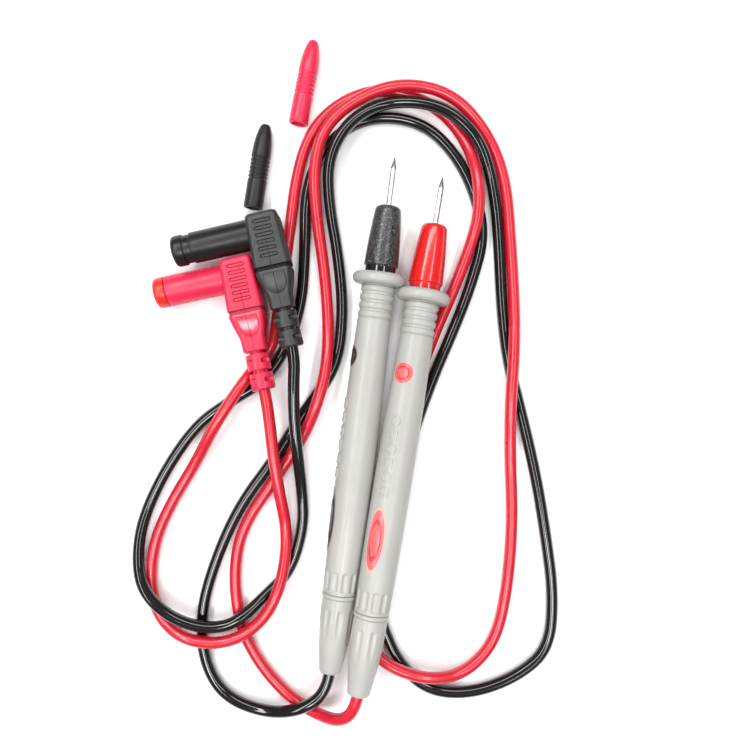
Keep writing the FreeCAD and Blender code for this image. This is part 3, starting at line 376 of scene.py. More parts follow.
def spread(tree, source, low, high, start=0.3, stop=0.7):
    """Maps a noise's middle range to a range of values."""
    node = tree.nodes.new("ShaderNodeMapRange")
    node.inputs["From Min"].default_value = start
    node.inputs["From Max"].default_value = stop
    node.inputs["To Min"].default_value = low
    node.inputs["To Max"].default_value = high
    tree.links.new(source, node.inputs["Value"])
    return node.outputs["Result"]


def two_tones(tree, source, dark, light, start=0.35, stop=0.65):
    ramp = tree.nodes.new("ShaderNodeValToRGB")
    ramp.color_ramp.elements[0].position = start
    ramp.color_ramp.elements[0].color = (*dark, 1)
    ramp.color_ramp.elements[1].position = stop
    ramp.color_ramp.elements[1].color = (*light, 1)
    tree.links.new(source, ramp.inputs["Fac"])
    return ramp.outputs["Color"]


def bump(tree, shader, source, height_mm, strength=1.0, before=None):
    node = tree.nodes.new("ShaderNodeBump")
    node.inputs["Strength"].default_value = strength
    node.inputs["Distance"].default_value = height_mm * MM
    tree.links.new(source, node.inputs["Height"])
    if before is not None:
        tree.links.new(before, node.inputs["Normal"])
    tree.links.new(node.outputs["Normal"], shader.inputs["Normal"])
    return node.outputs["Normal"]


def shade_of(colour, factor):
    return tuple(min(1.0, part * factor) for part in colour)


def moulded(name, colour, rough, grain_mm=0.25, grain_height=0.004, mottle=0.08, coat=0.0, glow=0.0,
            specular=0.5, wave=0.02):
    """Moulded plastic or rubber: fine grain, faint cloudiness and uneven gloss."""
    material, tree, shader, spots = start_material(name)
    cloud = noise(tree, spots, 9, 3)
    tone = two_tones(tree, cloud, shade_of(colour, 1 - mottle), shade_of(colour, 1 + mottle))
    tree.links.new(tone, shader.inputs["Base Color"])
    smear = noise(tree, spots, 3.5, 4, 0.6)
    tree.links.new(spread(tree, smear, rough * 0.85, rough * 1.2), shader.inputs["Roughness"])
    grain = noise(tree, spots, grain_mm, 2)
    first = bump(tree, shader, grain, grain_height)
    bump(tree, shader, noise(tree, spots, 4, 2), wave, 0.6, first)
    shader.inputs["Coat Weight"].default_value = coat
    shader.inputs["Coat Roughness"].default_value = 0.08
    shader.inputs["Specular IOR Level"].default_value = specular
    shader.inputs["Subsurface Weight"].default_value = glow
    shader.inputs["Subsurface Radius"].default_value = (1.0, 0.35, 0.3)
    shader.inputs["Subsurface Scale"].default_value = 1.2 * MM
    return material


def speckled(name, colour, fleck, rough, fleck_mm=0.32):
    """Rough-cast rubber with pale flecks on its grain."""
    material, tree, shader, spots = start_material(name)
    grain = noise(tree, spots, fleck_mm, 3, 0.65)
    tone = two_tones(tree, grain, colour, fleck, 0.5, 0.72)
    tree.links.new(tone, shader.inputs["Base Color"])
    tree.links.new(spread(tree, grain, rough * 1.15, rough * 0.8), shader.inputs["Roughness"])
    bump(tree, shader, grain, 0.05)
    shader.inputs["Specular IOR Level"].default_value = 0.6
    return material


def metal(name, colour, rough, stretch=None):
    """Drawn or plated metal with fine marks and uneven polish."""
    material, tree, shader, spots = start_material(name)
    shader.inputs["Metallic"].default_value = 1.0
    place = tree.nodes.new("ShaderNodeMapping")
    place.inputs["Scale"].default_value = stretch or (1, 1, 1)
    tree.links.new(spots, place.inputs["Vector"])
    marks = noise(tree, place.outputs["Vector"], 0.15, 3)
    tone = two_tones(tree, noise(tree, spots, 2.2, 3), shade_of(colour, 0.88), shade_of(colour, 1.06))
    tree.links.new(tone, shader.inputs["Base Color"])
    tree.links.new(spread(tree, marks, rough * 0.7, rough * 1.5), shader.inputs["Roughness"])
    bump(tree, shader, marks, 0.002)
    return material


def finishes():
    """Every material, made once and shared."""
    if "steel needle" in bpy.data.materials:
        return {material.name: material for material in bpy.data.materials}
    colours = bpy.context.scene.lead_colours
    cable = bpy.context.scene.lead_cables
    black, red = tuple(colours.black_plastic), tuple(colours.red_plastic)
    metal("steel needle", (0.93, 0.925, 0.92), rough=0.26, stretch=(1, 1, 0.06))
    metal("ground steel point", (0.42, 0.39, 0.37), rough=0.34)
    metal("nickel plating", (0.72, 0.69, 0.62), rough=0.22)
    metal("brass socket", (0.80, 0.58, 0.26), rough=0.28)
    moulded("grey handle plastic", tuple(colours.handle), rough=0.40, grain_mm=0.22, grain_height=0.006,
            mottle=0.03, coat=0.08)
    moulded("red nose plastic", tuple(colours.red_nose), rough=0.24, grain_mm=0.3, grain_height=0.003,
            mottle=0.06, coat=0.5, glow=0.12)
    speckled("black nose rubber", shade_of(black, 0.7), fleck=(0.24, 0.24, 0.25), rough=0.30, fleck_mm=0.45)
    moulded("black nose band", shade_of(black, 0.7), rough=0.14, grain_mm=0.5, grain_height=0.001,
            mottle=0.05, coat=0.7)
    moulded("coral badge", (0.64, 0.125, 0.125), rough=0.34, grain_mm=0.2, mottle=0.10, coat=0.2, glow=0.1)
    moulded("coral badge ring", (0.60, 0.035, 0.045), rough=0.34, grain_mm=0.2, coat=0.2, glow=0.1)
    moulded("coral badge rim", (0.70, 0.36, 0.32), rough=0.38, grain_mm=0.2, grain_height=0.003,
            mottle=0.04)
    moulded("black badge", shade_of(black, 1.3), rough=0.34, grain_mm=0.2, mottle=0.1, coat=0.2)
    moulded("black badge rim", (0.20, 0.20, 0.20), rough=0.4, grain_mm=0.2, grain_height=0.003, mottle=0.05)
    moulded("black badge ring", (0.05, 0.05, 0.05), rough=0.34, grain_mm=0.2, mottle=0.1, coat=0.2)
    moulded("red cable jacket", tuple(colours.red_cable), rough=cable.gloss * 1.3, grain_mm=0.4,
            grain_height=0.002, mottle=0.05, coat=0.35, glow=0.15, wave=0.004)
    moulded("black cable jacket", tuple(colours.black_cable), rough=cable.gloss * 0.8, grain_mm=0.4,
            grain_height=0.002, mottle=0.12, coat=1.0, specular=0.1, wave=0.004)
    moulded("red plug plastic", red, rough=0.42, grain_height=0.006, mottle=0.05, coat=0.1, glow=0.12)
    speckled("black plug plastic", shade_of(black, 1.2), fleck=(0.042, 0.040, 0.042), rough=0.42,
             fleck_mm=0.2)
    # Darker copies of the plug plastic for the groove's faces: painted shade in the groove, which is too
    # shallow to shade itself
    moulded("red plug groove", shade_of(red, 0.6), rough=0.5, grain_height=0.006, mottle=0.05)
    moulded("black plug groove", shade_of(black, 0.4), rough=0.5, grain_height=0.006, mottle=0.05,
            specular=0.2)
    moulded("red plug tongue", red, rough=0.21, mottle=0.05, coat=0.2, glow=0.12)
    moulded("black plug tongue", shade_of(black, 1.3), rough=0.36, grain_height=0.005, mottle=0.1)
    moulded("red shroud plastic", red, rough=0.38, grain_mm=0.4, grain_height=0.002, mottle=0.05, glow=0.12)
    moulded("black shroud plastic", shade_of(black, 0.5), rough=0.38, grain_mm=0.4, grain_height=0.002,
            mottle=0.1, specular=0.4)
    moulded("red stopper rubber", (0.66, 0.016, 0.008), rough=0.34, grain_mm=0.3, grain_height=0.002,
            mottle=0.05, glow=0.12)
    moulded("black stopper rubber", shade_of(black, 0.6), rough=0.34, grain_mm=0.3, grain_height=0.002,
            mottle=0.1, specular=0.4)
    moulded("red cover rubber", red, rough=0.42, grain_height=0.005, mottle=0.06, coat=0.15, glow=0.15)
    moulded("black cover rubber", shade_of(black, 1.0), rough=0.42, grain_height=0.005, mottle=0.15,
            specular=0.4)
    return {material.name: material for material in bpy.data.materials}


def dress(node, material):
    """Gives a CAD node's object one material."""
    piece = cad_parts[node]
    piece.data.materials.clear()
    piece.data.materials.append(material)


# ---------------------------------------------------------------- probe pieces, own Z from the point

# In millimetres: places along the probe, then the sizes of its details.
NOSE_AT, GUARD_AT, NECK_AT, RING_AT, CAP_AT, CAP_END = 15.8, 37.1, 40.9, 139.0, 140.6, 164.9
SHANK, SHANK_END, POINT_END = 0.8, 43.8, 3.9
NOSE_SKIRT = 35.0
RIBS, RIB_STEP = 4, 2.7
RING_BACK = 149
BARREL_SKIN = 4.4
MARKS, MARK_FIRST, MARK_STEP, MARK_LINE, MARK_HIGH, MARK_SUNK = 6, 79, 4.4, 0.5, 0.68, 0.34
RING_MARK, SQUARE_MARK = 1.8, 2.15
ROUND_BADGE = {"half_wide": 3.45, "half_long": 3.45, "at": 64.0}
OVAL_BADGE = {"half_wide": 2.9, "half_long": 10.3, "at": 116.0}
BADGE_RIM, BADGE_PROUD, BADGE_WALL = 0.3, 0.14, 0.7
FLUTE_FINE, FLUTE_HALF = 0.2, 0.95
HANDLE_SWELL = [(51.8, 5.32), (65, 5.6), (80, 5.84), (95.5, 5.94), (111, 5.91), (125, 5.76), (130.6, 5.66),
                (138.9, 5.5)]
TAIL_SWELL = [(CAP_AT, 5.32), (144, 5.34), (148, 5.26), (151.4, 5.08), (156, 4.65), (160, 4.13), (163, 3.7)]
HANDLE_FLUTES_FROM, HANDLE_FLUTES_TO = 131.6, 138.1
TAIL_FLUTES_FROM, TAIL_FLUTES_TO = 143.6, 155.0
PLUG_HEAD = 5.3


def swell(outline, height):
    """The radius of a swelling side at a height, from its few measured ones."""
    for (low, first), (high, last) in zip(outline, outline[1:]):
        if height <= high:
            return first + (last - first) * (height - low) / (high - low)
    return outline[-1][1]


def swelling_side(outline, fine_from, fine_to):
    """The side's points, with close ones where the flutes run."""
    fine_from, fine_to = fine_from - 0.4, fine_to + 0.4
    heights = [height for height, _ in outline if not fine_from < height < fine_to]
    steps = round((fine_to - fine_from) / FLUTE_FINE)
    heights += [fine_from + (fine_to - fine_from) * step / steps for step in range(steps + 1)]
    return [(swell(outline, height), height) for height in sorted(set(heights))]


def make_needle(colour, looks):
    radius = bpy.context.scene.lead_probes.needle_diameter / MM / 2
    bm = spun([(0, 0), (0.1, 0.12), (radius, 4.0, 0.3), (radius, NOSE_AT), (SHANK, NOSE_AT),
               (SHANK, SHANK_END), (0, SHANK_END)], 48)
    for face in bm.faces:
        if face.calc_center_median().z < POINT_END:
            face.material_index = 1
    piece = finish_piece(f"{colour}_needle_steel", bm, probe_place(colour),
                         [looks["steel needle"], looks["ground steel point"]])
    settle(piece, "leads", f"{colour}_needle")


def make_nose(colour, looks):
    bm = spun([(1.1, NOSE_AT), (4.0, NOSE_AT, 1.4), (5.1, 25.5, 6.5), (5.45, 34.7, 0.2), (4.95, 35.1, 0.15),
               (4.95, GUARD_AT), (1.1, GUARD_AT)], 96, True)
    skin = looks["red nose plastic"] if colour == "red" else looks["black nose rubber"]
    band = looks["red nose plastic"] if colour == "red" else looks["black nose band"]
    for face in bm.faces:
        if face.calc_center_median().z > NOSE_SKIRT:
            face.material_index = 1
    piece = finish_piece(f"{colour}_nose", bm, probe_place(colour), [skin, band])
    settle(piece, "leads", f"{colour}_nose_cone")


def wrap_on_handle(bm, at, sunk):
    """Bends a flat piece, own X across and own Y along, onto the handle; its own Z becomes height."""
    for vert in bm.verts:
        across, along, rise = vert.co
        skin = swell(HANDLE_SWELL, at + along)
        out = skin - sunk + rise
        vert.co = (out * math.cos(across / skin), out * math.sin(across / skin), at + along)


def raised_mark(at, sides):
    """A ring or a square outline that follows the handle's round, own X outwards."""
    bm = bmesh.new()
    reach = RING_MARK if sides > 4 else SQUARE_MARK
    bmesh.ops.create_circle(bm, cap_ends=True, radius=reach, segments=sides)
    if sides == 4:
        bmesh.ops.rotate(bm, verts=bm.verts[:], cent=(0, 0, 0),
                         matrix=Matrix.Rotation(math.radians(45), 3, "Z"))
        bmesh.ops.subdivide_edges(bm, edges=bm.edges[:], cuts=3)
    bmesh.ops.inset_region(bm, faces=bm.faces[:], thickness=MARK_LINE, use_even_offset=True,
                           use_boundary=True)
    middle = max(bm.faces, key=lambda face: face.calc_area())
    bmesh.ops.delete(bm, geom=[middle], context="FACES")
    raised = bmesh.ops.extrude_face_region(bm, geom=bm.faces[:])
    bmesh.ops.translate(bm, verts=moved_verts(raised), vec=(0, 0, MARK_HIGH))
    wrap_on_handle(bm, at, MARK_SUNK)
    return bm


def make_badge(colour, name, looks, half_wide, half_long, at):
    """An oval inlay with a pale rim and a plain raised ring, in a deeper tone, on it."""
    bm = bmesh.new()
    bmesh.ops.create_circle(bm, cap_ends=False, radius=1, segments=72)
    bmesh.ops.scale(bm, vec=(half_wide, half_long, 1), verts=bm.verts[:])
    outer = bm.edges[:]
    shares = [1 - BADGE_RIM / half_wide, 0.8, 0.63, 0.6, 0.52, 0.49, 0.3, 0.1]
    rises = [0, 0, 0, 0.12, 0.12, 0, 0, 0]
    here, before = outer, 1.0
    for share, rise in zip(shares, rises):
        ring = bmesh.ops.extrude_edge_only(bm, edges=here)
        verts = moved_verts(ring)
        bmesh.ops.scale(bm, vec=(share / before, share / before, 1), verts=verts)
        for vert in verts:
            vert.co.z = rise
        here = [item for item in ring["geom"] if isinstance(item, bmesh.types.BMEdge)]
        before = share
    bmesh.ops.edgeloop_fill(bm, edges=here)
    for face in bm.faces:
        middle = face.calc_center_median()
        share = math.hypot(middle.x / half_wide, middle.y / half_long)
        if share > (1 + shares[0]) / 2 - 0.02:
            face.material_index = 1
        elif 0.5 < share < 0.62:
            face.material_index = 2
    wall = bmesh.ops.extrude_edge_only(bm, edges=outer)
    bmesh.ops.translate(bm, verts=moved_verts(wall), vec=(0, 0, -BADGE_WALL))
    wrap_on_handle(bm, at, -BADGE_PROUD)
    tone = "coral badge" if colour == "red" else "black badge"
    skins = [looks[tone + end] for end in ("", " rim", " ring")]
    piece = finish_piece(f"{colour}_{name}", bm, probe_place(colour), skins)
    settle(piece, "leads", f"{colour}_{name}_badge")


def make_handle(colour, looks):
    probe = bpy.context.scene.lead_probes
    guard = probe.guard_diameter / MM / 2
    outline = [(2.3, GUARD_AT), (guard, GUARD_AT, 1.8), (guard, NECK_AT, 1.8), (5.05, NECK_AT, 0.2)]
    for rib in range(RIBS):
        start = NECK_AT + 0.25 + RIB_STEP * rib
        outline += [(4.98, start), (5.42, start + 0.4, 0.2), (5.42, start + 1.75, 0.2), (4.98, start + 2.15)]
    outline += [(5.05, 51.5)] + swelling_side(HANDLE_SWELL, HANDLE_FLUTES_FROM, HANDLE_FLUTES_TO)
    outline += [(5.3, RING_AT), (3.5, RING_AT), (3.5, RING_BACK), (2.3, RING_BACK)]
    bm = spun(outline, probe.handle_flutes * 16, True)
    flute(bm, probe.handle_flutes, HANDLE_FLUTES_FROM, HANDLE_FLUTES_TO, 0.45, 0.5)
    for mark in range(MARKS):
        add_part(bm, raised_mark(MARK_FIRST + MARK_STEP * mark, 32 if mark % 2 == 0 else 4))
    piece = finish_piece(f"{colour}_grip", bm, probe_place(colour), [looks["grey handle plastic"]])
    settle(piece, "leads", f"{colour}_handle")
    make_badge(colour, "round", looks, **ROUND_BADGE)
    make_badge(colour, "oval", looks, **OVAL_BADGE)


def make_tail(colour, looks):
    flutes = bpy.context.scene.lead_probes.tail_flutes
    outline = [(3.65, CAP_AT)] + swelling_side(TAIL_SWELL, TAIL_FLUTES_FROM, TAIL_FLUTES_TO)
    outline += [(3.5, CAP_END, 0.9), (2.3, CAP_END), (2.3, 150), (3.65, 150)]
    bm = spun(outline, flutes * 24, True)
    flute(bm, flutes, TAIL_FLUTES_FROM, TAIL_FLUTES_TO, 0.4, 8.0)
    piece = finish_piece(f"{colour}_cable_cap", bm, probe_place(colour), [looks["grey handle plastic"]])
    settle(piece, f"{colour}_tail", f"{colour}_tail_cap")
    bm = spun([(3.6, 139.1), (5.65, 139.1, 0.4), (5.65, 140.5, 0.4), (3.6, 140.5)], 96, True)
    piece = finish_piece(f"{colour}_seam_ring", bm, probe_place(colour), [looks["grey handle plastic"]])
    settle(piece, f"{colour}_tail_seat", f"{colour}_tail_ring")


def dress_inner_pieces(colour, looks):
    """CAD nodes whose shape stays as it is."""
    dress(f"{colour}_needle_socket", looks["brass socket"])
    dress(f"{colour}_inner_lead", looks[f"{colour} cable jacket"])
    dress(f"{colour}_crimp_ring", looks["nickel plating"])
    dress(f"{colour}_plug_wire", looks[f"{colour} cable jacket"])
    dress(f"{colour}_banana_pin", looks["nickel plating"])
    dress(f"{colour}_lantern_spring", looks["nickel plating"])


# ---------------------------------------------------------------- plug pieces, own X away from the shroud

def add_section(bm, at, half_wide, half_thick, corner):
    """A rounded rectangle across own Y."""
    corners = [bm.verts.new((half_wide * x, at, half_thick * z))
               for x, z in ((1, 1), (-1, 1), (-1, -1), (1, -1))]
    for first, second in zip(corners, corners[1:] + corners[:1]):
        bm.edges.new((first, second))
    bmesh.ops.bevel(bm, geom=corners, offset=corner, offset_type="OFFSET", segments=6, profile=0.5,
                    affect="VERTICES", material=-1)


def loop_at(bm, at):
    return [edge for edge in bm.edges if all(abs(vert.co.y - at) < SAME_PLACE for vert in edge.verts)]


def slot_cutter(bm, at, height):
    """A groove round a bar across own X, sunk into the face at this height."""
    rod = bmesh.new()
    bmesh.ops.create_circle(rod, cap_ends=True, radius=SLOT_ROUND, segments=20)
    for side in (1, -1):
        end = [vert for vert in rod.verts if vert.co.x * side > 1e-6]
        bmesh.ops.translate(rod, verts=end, vec=(side * (SLOT_HALF - SLOT_ROUND), 0, 0))
    bmesh.ops.inset_region(rod, faces=rod.faces[:], thickness=SLOT_GROOVE, use_even_offset=True,
                           use_boundary=True)
    bmesh.ops.delete(rod, geom=[max(rod.faces, key=lambda face: face.calc_area())], context="FACES")
    up = bmesh.ops.extrude_face_region(rod, geom=rod.faces[:])
    bmesh.ops.translate(rod, verts=moved_verts(up), vec=(0, 0, SLOT_DEPTH * 2))
    bmesh.ops.recalc_face_normals(rod, faces=rod.faces[:])
    add_part(bm, rod, Matrix.Translation((0, at, height - SLOT_DEPTH)))


def add_box(bm, size, centre, edge):
    """A box with rounded edges."""
    box = bmesh.new()
    bmesh.ops.create_cube(box, size=1)
    bmesh.ops.scale(box, vec=size, verts=box.verts[:])
    bmesh.ops.bevel(box, geom=box.edges[:], offset=edge, offset_type="OFFSET", segments=3, profile=0.5,
                    affect="EDGES", material=-1)
    add_part(bm, box, Matrix.Translation(centre))


# In millimetres. A cross section is its place along own Y, half width, half thickness and corner rounding.
# The sizes below are of the groove, slots, tongue, parting line and strain relief.
PLUG_SECTIONS = [
    (5.3, 3.9, 5.1, 1.0), (5.12, 4.45, 5.6, 1.3), (4.7, 4.85, 5.97, 1.45), (4.1, 5.05, 6.18, 1.5),
    (3.3, 5.13, 6.25, 1.5), (-11.6, 5.66, 6.25, 1.5), (-11.75, 5.35, 5.3, 1.3), (-12.8, 5.33, 5.28, 1.3),
    (-12.95, 5.6, 6.18, 1.5), (-13.7, 5.52, 6.0, 1.5), (-16.2, 5.05, 5.0, 1.4), (-18.4, 4.42, 4.12, 1.3),
    (-20, 3.98, 3.8, 1.5), (-21.3, 3.82, 3.72, 1.6), (-24.55, 3.74, 3.7, 1.6), (-24.8, 3.5, 3.5, 1.5),
]
# The stretch of the plug's face whose faces take the darker groove material: painted shade in the groove
SHADED_GROOVE_FROM, SHADED_GROOVE_TO = -12.9, -11.65
SLOT_FIRST, SLOT_STEP, SLOT_HALF, SLOT_ROUND, SLOT_GROOVE, SLOT_DEPTH = 2.3, 2.15, 2.85, 0.68, 0.34, 0.7
TONGUE_AT, TONGUE_FOOT, TONGUE_HALF, TONGUE_THICK, TONGUE_EDGE = -16.55, 3.72, 3.35, 1.6, 0.18
TONGUE_SLOPE = math.atan2(2.1, 6.6)
LINE_FROM, LINE_HALF, LINE_DEPTH, CLEAR_OF_BODY = -3.2, 0.09, 0.22, 9.0
RELIEF_FROM, RELIEF_TO, RELIEF_STEP = 24.8, 37.2, 6.1
RELIEF_GAP, RELIEF_RING, RELIEF_BORE, RELIEF_CORE = 0.95, 5.15, 1.95, 2.3
WEB_SIZE, WEB_AT, WEB_OUT = (1.2, 1.3, 1.4), 0.45, 2.75
POCKET_SIZE, POCKET_AT, POCKET_ACROSS, POCKET_OUT = (2.6, 1.45, 4.4), 3.3, 2.6, 3.3


def make_tongue(side):
    """A plate with a round end that lies on the body's sloping face, above for +1 and below for -1."""
    bm = bmesh.new()
    bmesh.ops.create_circle(bm, cap_ends=True, radius=TONGUE_HALF, segments=48)
    for vert in bm.verts:
        if vert.co.y > 0.01:
            vert.co.y = TONGUE_HALF
    up = bmesh.ops.extrude_face_region(bm, geom=bm.faces[:])
    bmesh.ops.translate(bm, verts=moved_verts(up), vec=(0, 0, TONGUE_THICK))
    rim = [edge for edge in bm.edges if all(vert.co.z > TONGUE_THICK / 2 for vert in edge.verts)]
    bmesh.ops.bevel(bm, geom=rim, offset=TONGUE_EDGE, offset_type="OFFSET", segments=3, profile=0.5,
                    affect="EDGES", material=-1)
    bm.transform(Matrix.Translation((0, TONGUE_AT, TONGUE_FOOT)) @ Matrix.Rotation(TONGUE_SLOPE, 4, "X"))
    if side < 0:
        bmesh.ops.scale(bm, vec=(1, 1, -1), verts=bm.verts[:])
    bmesh.ops.recalc_face_normals(bm, faces=bm.faces[:])
    return bm


def parting_line(bm):
    """Thin slabs that score a line down the middle of both faces, from the finger slots to the end."""
    for side in (1, -1):
        edge = [(at, (thick - LINE_DEPTH) * side) for at, _, thick, _ in PLUG_SECTIONS if at < 0]
        edge[0] = (LINE_FROM, edge[0][1])
        slab = bmesh.new()
        corners = [slab.verts.new((-LINE_HALF, at, height)) for at, height in edge]
        corners += [slab.verts.new((-LINE_HALF, at, CLEAR_OF_BODY * side))
                    for at in (edge[-1][0] - 0.5, edge[0][0])]
        face = slab.faces.new(corners)
        across = bmesh.ops.extrude_face_region(slab, geom=[face])
        bmesh.ops.translate(slab, verts=moved_verts(across), vec=(LINE_HALF * 2, 0, 0))
        bmesh.ops.recalc_face_normals(slab, faces=slab.faces[:])
        add_part(bm, slab)


def make_relief():
    """The strain relief: rings joined by small webs; the pockets in the wide rings are cut later."""
    outline = [(RELIEF_BORE, RELIEF_FROM)]
    for ring in range(2):
        start = RELIEF_FROM + RELIEF_GAP + RELIEF_STEP * ring
        outline += [(RELIEF_CORE, start - RELIEF_GAP), (RELIEF_CORE, start, 0.1), (3.72, start, 0.25),
                    (3.78, start + RELIEF_RING, 0.25), (RELIEF_CORE, start + RELIEF_RING, 0.1)]
    outline = outline[:-2] + [(3.85, RELIEF_TO, 0.8), (RELIEF_BORE, RELIEF_TO)]
    relief = spun(outline, 64, True)
    bmesh.ops.rotate(relief, verts=relief.verts[:], cent=(0, 0, 0),
                     matrix=Matrix.Rotation(math.radians(90), 3, "X"))
    for ring in range(2):
        for side in (1, -1):
            at = -RELIEF_FROM - WEB_AT - RELIEF_STEP * ring
            add_box(relief, WEB_SIZE, (0, at, WEB_OUT * side), 0.12)
    return relief


def relief_pockets():
    """Cutters for the pockets in the strain relief's rings."""
    cutters = bmesh.new()
    for ring in range(2):
        at = -RELIEF_FROM - POCKET_AT - RELIEF_STEP * ring
        for side in (1, -1):
            for face in (1, -1):
                add_box(cutters, POCKET_SIZE, (POCKET_ACROSS * side, at, POCKET_OUT * face), 0.4)
    return cutters


def make_plug_body(colour, looks):
    plug = bpy.context.scene.lead_plugs
    half = plug.thickness / MM / 2
    plastic = looks[f"{colour} plug plastic"]
    bm = bmesh.new()
    for at, wide, thick, corner in PLUG_SECTIONS:
        add_section(bm, at, wide, thick, corner)
    for first, second in zip(PLUG_SECTIONS, PLUG_SECTIONS[1:]):
        bmesh.ops.bridge_loops(bm, edges=loop_at(bm, first[0]) + loop_at(bm, second[0]))
    for end in (PLUG_SECTIONS[0], PLUG_SECTIONS[-1]):
        bmesh.ops.edgeloop_fill(bm, edges=loop_at(bm, end[0]))
    cutters = bmesh.new()
    for slot in range(plug.slots):
        for face in (1, -1):
            slot_cutter(cutters, SLOT_FIRST - SLOT_STEP * slot, half * face)
    # The groove's faces take the darker second material: painted shade in the groove
    for face in bm.faces:
        if SHADED_GROOVE_FROM < face.calc_center_median().y < SHADED_GROOVE_TO:
            face.material_index = 1
    body = finish_piece(f"{colour}_plug_shell", bm, Matrix(), [plastic, looks[f"{colour} plug groove"]])
    cut_away(body, finish_piece("slots", cutters, Matrix(), []))
    tongues = make_tongue(1)
    add_part(tongues, make_tongue(-1))
    tongue = finish_piece(f"{colour}_plug_tongues", tongues, Matrix(), [looks[f"{colour} plug tongue"]])
    for piece in (body, tongue):
        lines = bmesh.new()
        parting_line(lines)
        cut_away(piece, finish_piece("lines", lines, Matrix(), []))
    boot = finish_piece(f"{colour}_strain_relief", make_relief(), Matrix(), [plastic])
    cut_away(boot, finish_piece("pockets", relief_pockets(), Matrix(), []))
    place = plug_place(colour)
    for piece in (body, tongue, boot):
        piece.data.transform(place)
        piece.data.update()
        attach(piece, "leads")
    weigh_normals(body)
    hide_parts(f"{colour}_plug_body")


def make_shroud(colour, looks):
    radius = bpy.context.scene.lead_plugs.shroud_diameter / MM / 2
    bm = spun([(1.35, 3.0), (radius, 3.0), (radius, 23.6, 0.4), (4.6, 23.6, 0.12), (4.6, 21.1), (4.3, 21.1),
               (4.3, 4.8), (1.35, 4.8)], 96, True)
    piece = finish_piece(f"{colour}_barrel", bm, barrel_place(colour), [looks[f"{colour} shroud plastic"]])
    settle(piece, "leads", f"{colour}_plug_shroud")


def make_stopper(colour, looks):
    radius = bpy.context.scene.lead_plugs.shroud_diameter / MM / 2
    bm = spun([(0, 27.4), (radius, 27.4, 1.35), (radius, 23.62, 0.35), (4.45, 23.62), (4.45, 21.4),
               (4.15, 21.4), (4.15, 8.6), (2.3, 8.6), (2.3, 24.6), (0, 24.6)], 96)
    out = Matrix.Translation((0, 0, PLUGS[colour]["stopper_out"]))
    piece = finish_piece(f"{colour}_stopper_cap", bm, barrel_place(colour) @ out,
                         [looks[f"{colour} stopper rubber"]])
    settle(piece, f"{colour}_stopper", f"{colour}_plug_stopper")


# ---------------------------------------------------------------- tip covers, own Z from the mouth

def make_cover(colour, looks):
    outline = [(0, 27.5), (1.35, 27.5, 0.9), (2.2, 25.3, 1.4), (2.85, 21.8, 1.7), (3.1, 18.2, 1.5)]
    for groove in range(6):
        start = 16.6 - 1.3 * groove
        outline += [(3.1, start, 0.1), (2.84, start - 0.28, 0.08), (2.84, start - 0.62, 0.08),
                    (3.1, start - 0.9, 0.1)]
    outline += [(3.1, 0, 0.35), (2.2, 0, 0.2), (2.2, 12), (1.15, 12), (1.15, 22), (0, 22)]
    piece = finish_piece(f"{colour}_cover", spun(outline, 72), cover_place(colour),
                         [looks[f"{colour} cover rubber"]])
    settle(piece, f"{colour}_cover", f"{colour}_tip_cover")


# ---------------------------------------------------------------- cables

def make_cable(colour, looks):
    settings = bpy.context.scene.lead_cables
    curve = bpy.data.curves.new(f"{colour}_flex", "CURVE")
    curve.dimensions = "3D"
    curve.bevel_depth = settings.diameter / 2
    curve.bevel_resolution = 8
    curve.resolution_u = 10
    curve.use_fill_caps = True
    line = curve.splines.new("NURBS")
    line.points.add(len(ROUTES[colour]) - 1)
    for point, spot in zip(line.points, ROUTES[colour]):
        point.co = (*spot, 1)
    line.order_u = 3
    line.use_endpoint_u = True
    curve.materials.append(looks[f"{colour} cable jacket"])
    piece = bpy.data.objects.new(f"{colour}_flex", curve)
    bpy.context.collection.objects.link(piece)
    settle(piece, "leads", f"{colour}_cable")
    ends = [bpy.data.objects[f"{colour}_{name}"] for name in
            ("plug_shell", "plug_tongues", "strain_relief", "barrel", "stopper_cap")]
    ends += [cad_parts[f"{colour}_{name}"] for name in ("plug_wire", "banana_pin", "lantern_spring")]


# ---------------------------------------------------------------- operators

class LEADS_OT_probes(bpy.types.Operator):
    """Builds both probes: needles, noses, handles and tails"""

    bl_idname = "leads.probes"
    bl_label = "Probes"

    def execute(self, context):
        looks = finishes()
        for colour in COLOURS:
            make_needle(colour, looks)
            make_nose(colour, looks)
            make_handle(colour, looks)
            make_tail(colour, looks)
        return {"FINISHED"}


class LEADS_OT_inner_pieces(bpy.types.Operator):
    """Finishes the sockets, pins, springs and wires"""

    bl_idname = "leads.inner_pieces"
    bl_label = "Inner pieces"

    def execute(self, context):
        looks = finishes()
        for colour in COLOURS:
            dress_inner_pieces(colour, looks)
        return {"FINISHED"}


class LEADS_OT_plugs(bpy.types.Operator):
    """Builds both plugs: bodies, strain reliefs, barrels and stopper caps"""

    bl_idname = "leads.plugs"
    bl_label = "Plugs"

    def execute(self, context):
        looks = finishes()
        for colour in COLOURS:
            make_plug_body(colour, looks)
            make_shroud(colour, looks)
            make_stopper(colour, looks)
        return {"FINISHED"}


class LEADS_OT_covers(bpy.types.Operator):
    """Builds both tip covers"""

    bl_idname = "leads.covers"
    bl_label = "Tip covers"

    def execute(self, context):
        looks = finishes()
        for colour in COLOURS:
            make_cover(colour, looks)
        return {"FINISHED"}


class LEADS_OT_cables(bpy.types.Operator):
    """Lays both cables"""

    bl_idname = "leads.cables"
    bl_label = "Cables"

    def execute(self, context):
        looks = finishes()
        for colour in COLOURS:
            make_cable(colour, looks)
        return {"FINISHED"}


class LEADS_OT_stage(bpy.types.Operator):
    """Builds the floor, the lights and the camera"""

    bl_idname = "leads.stage"
    bl_label = "Floor, lights and camera"

    def execute(self, context):
        stage = context.scene.lead_stage
        make_floor(stage)
        make_lights()
        make_camera(stage)
        return {"FINISHED"}


FLOOR_HALF = 3
FLOOR_DROP = 0.2 * MM


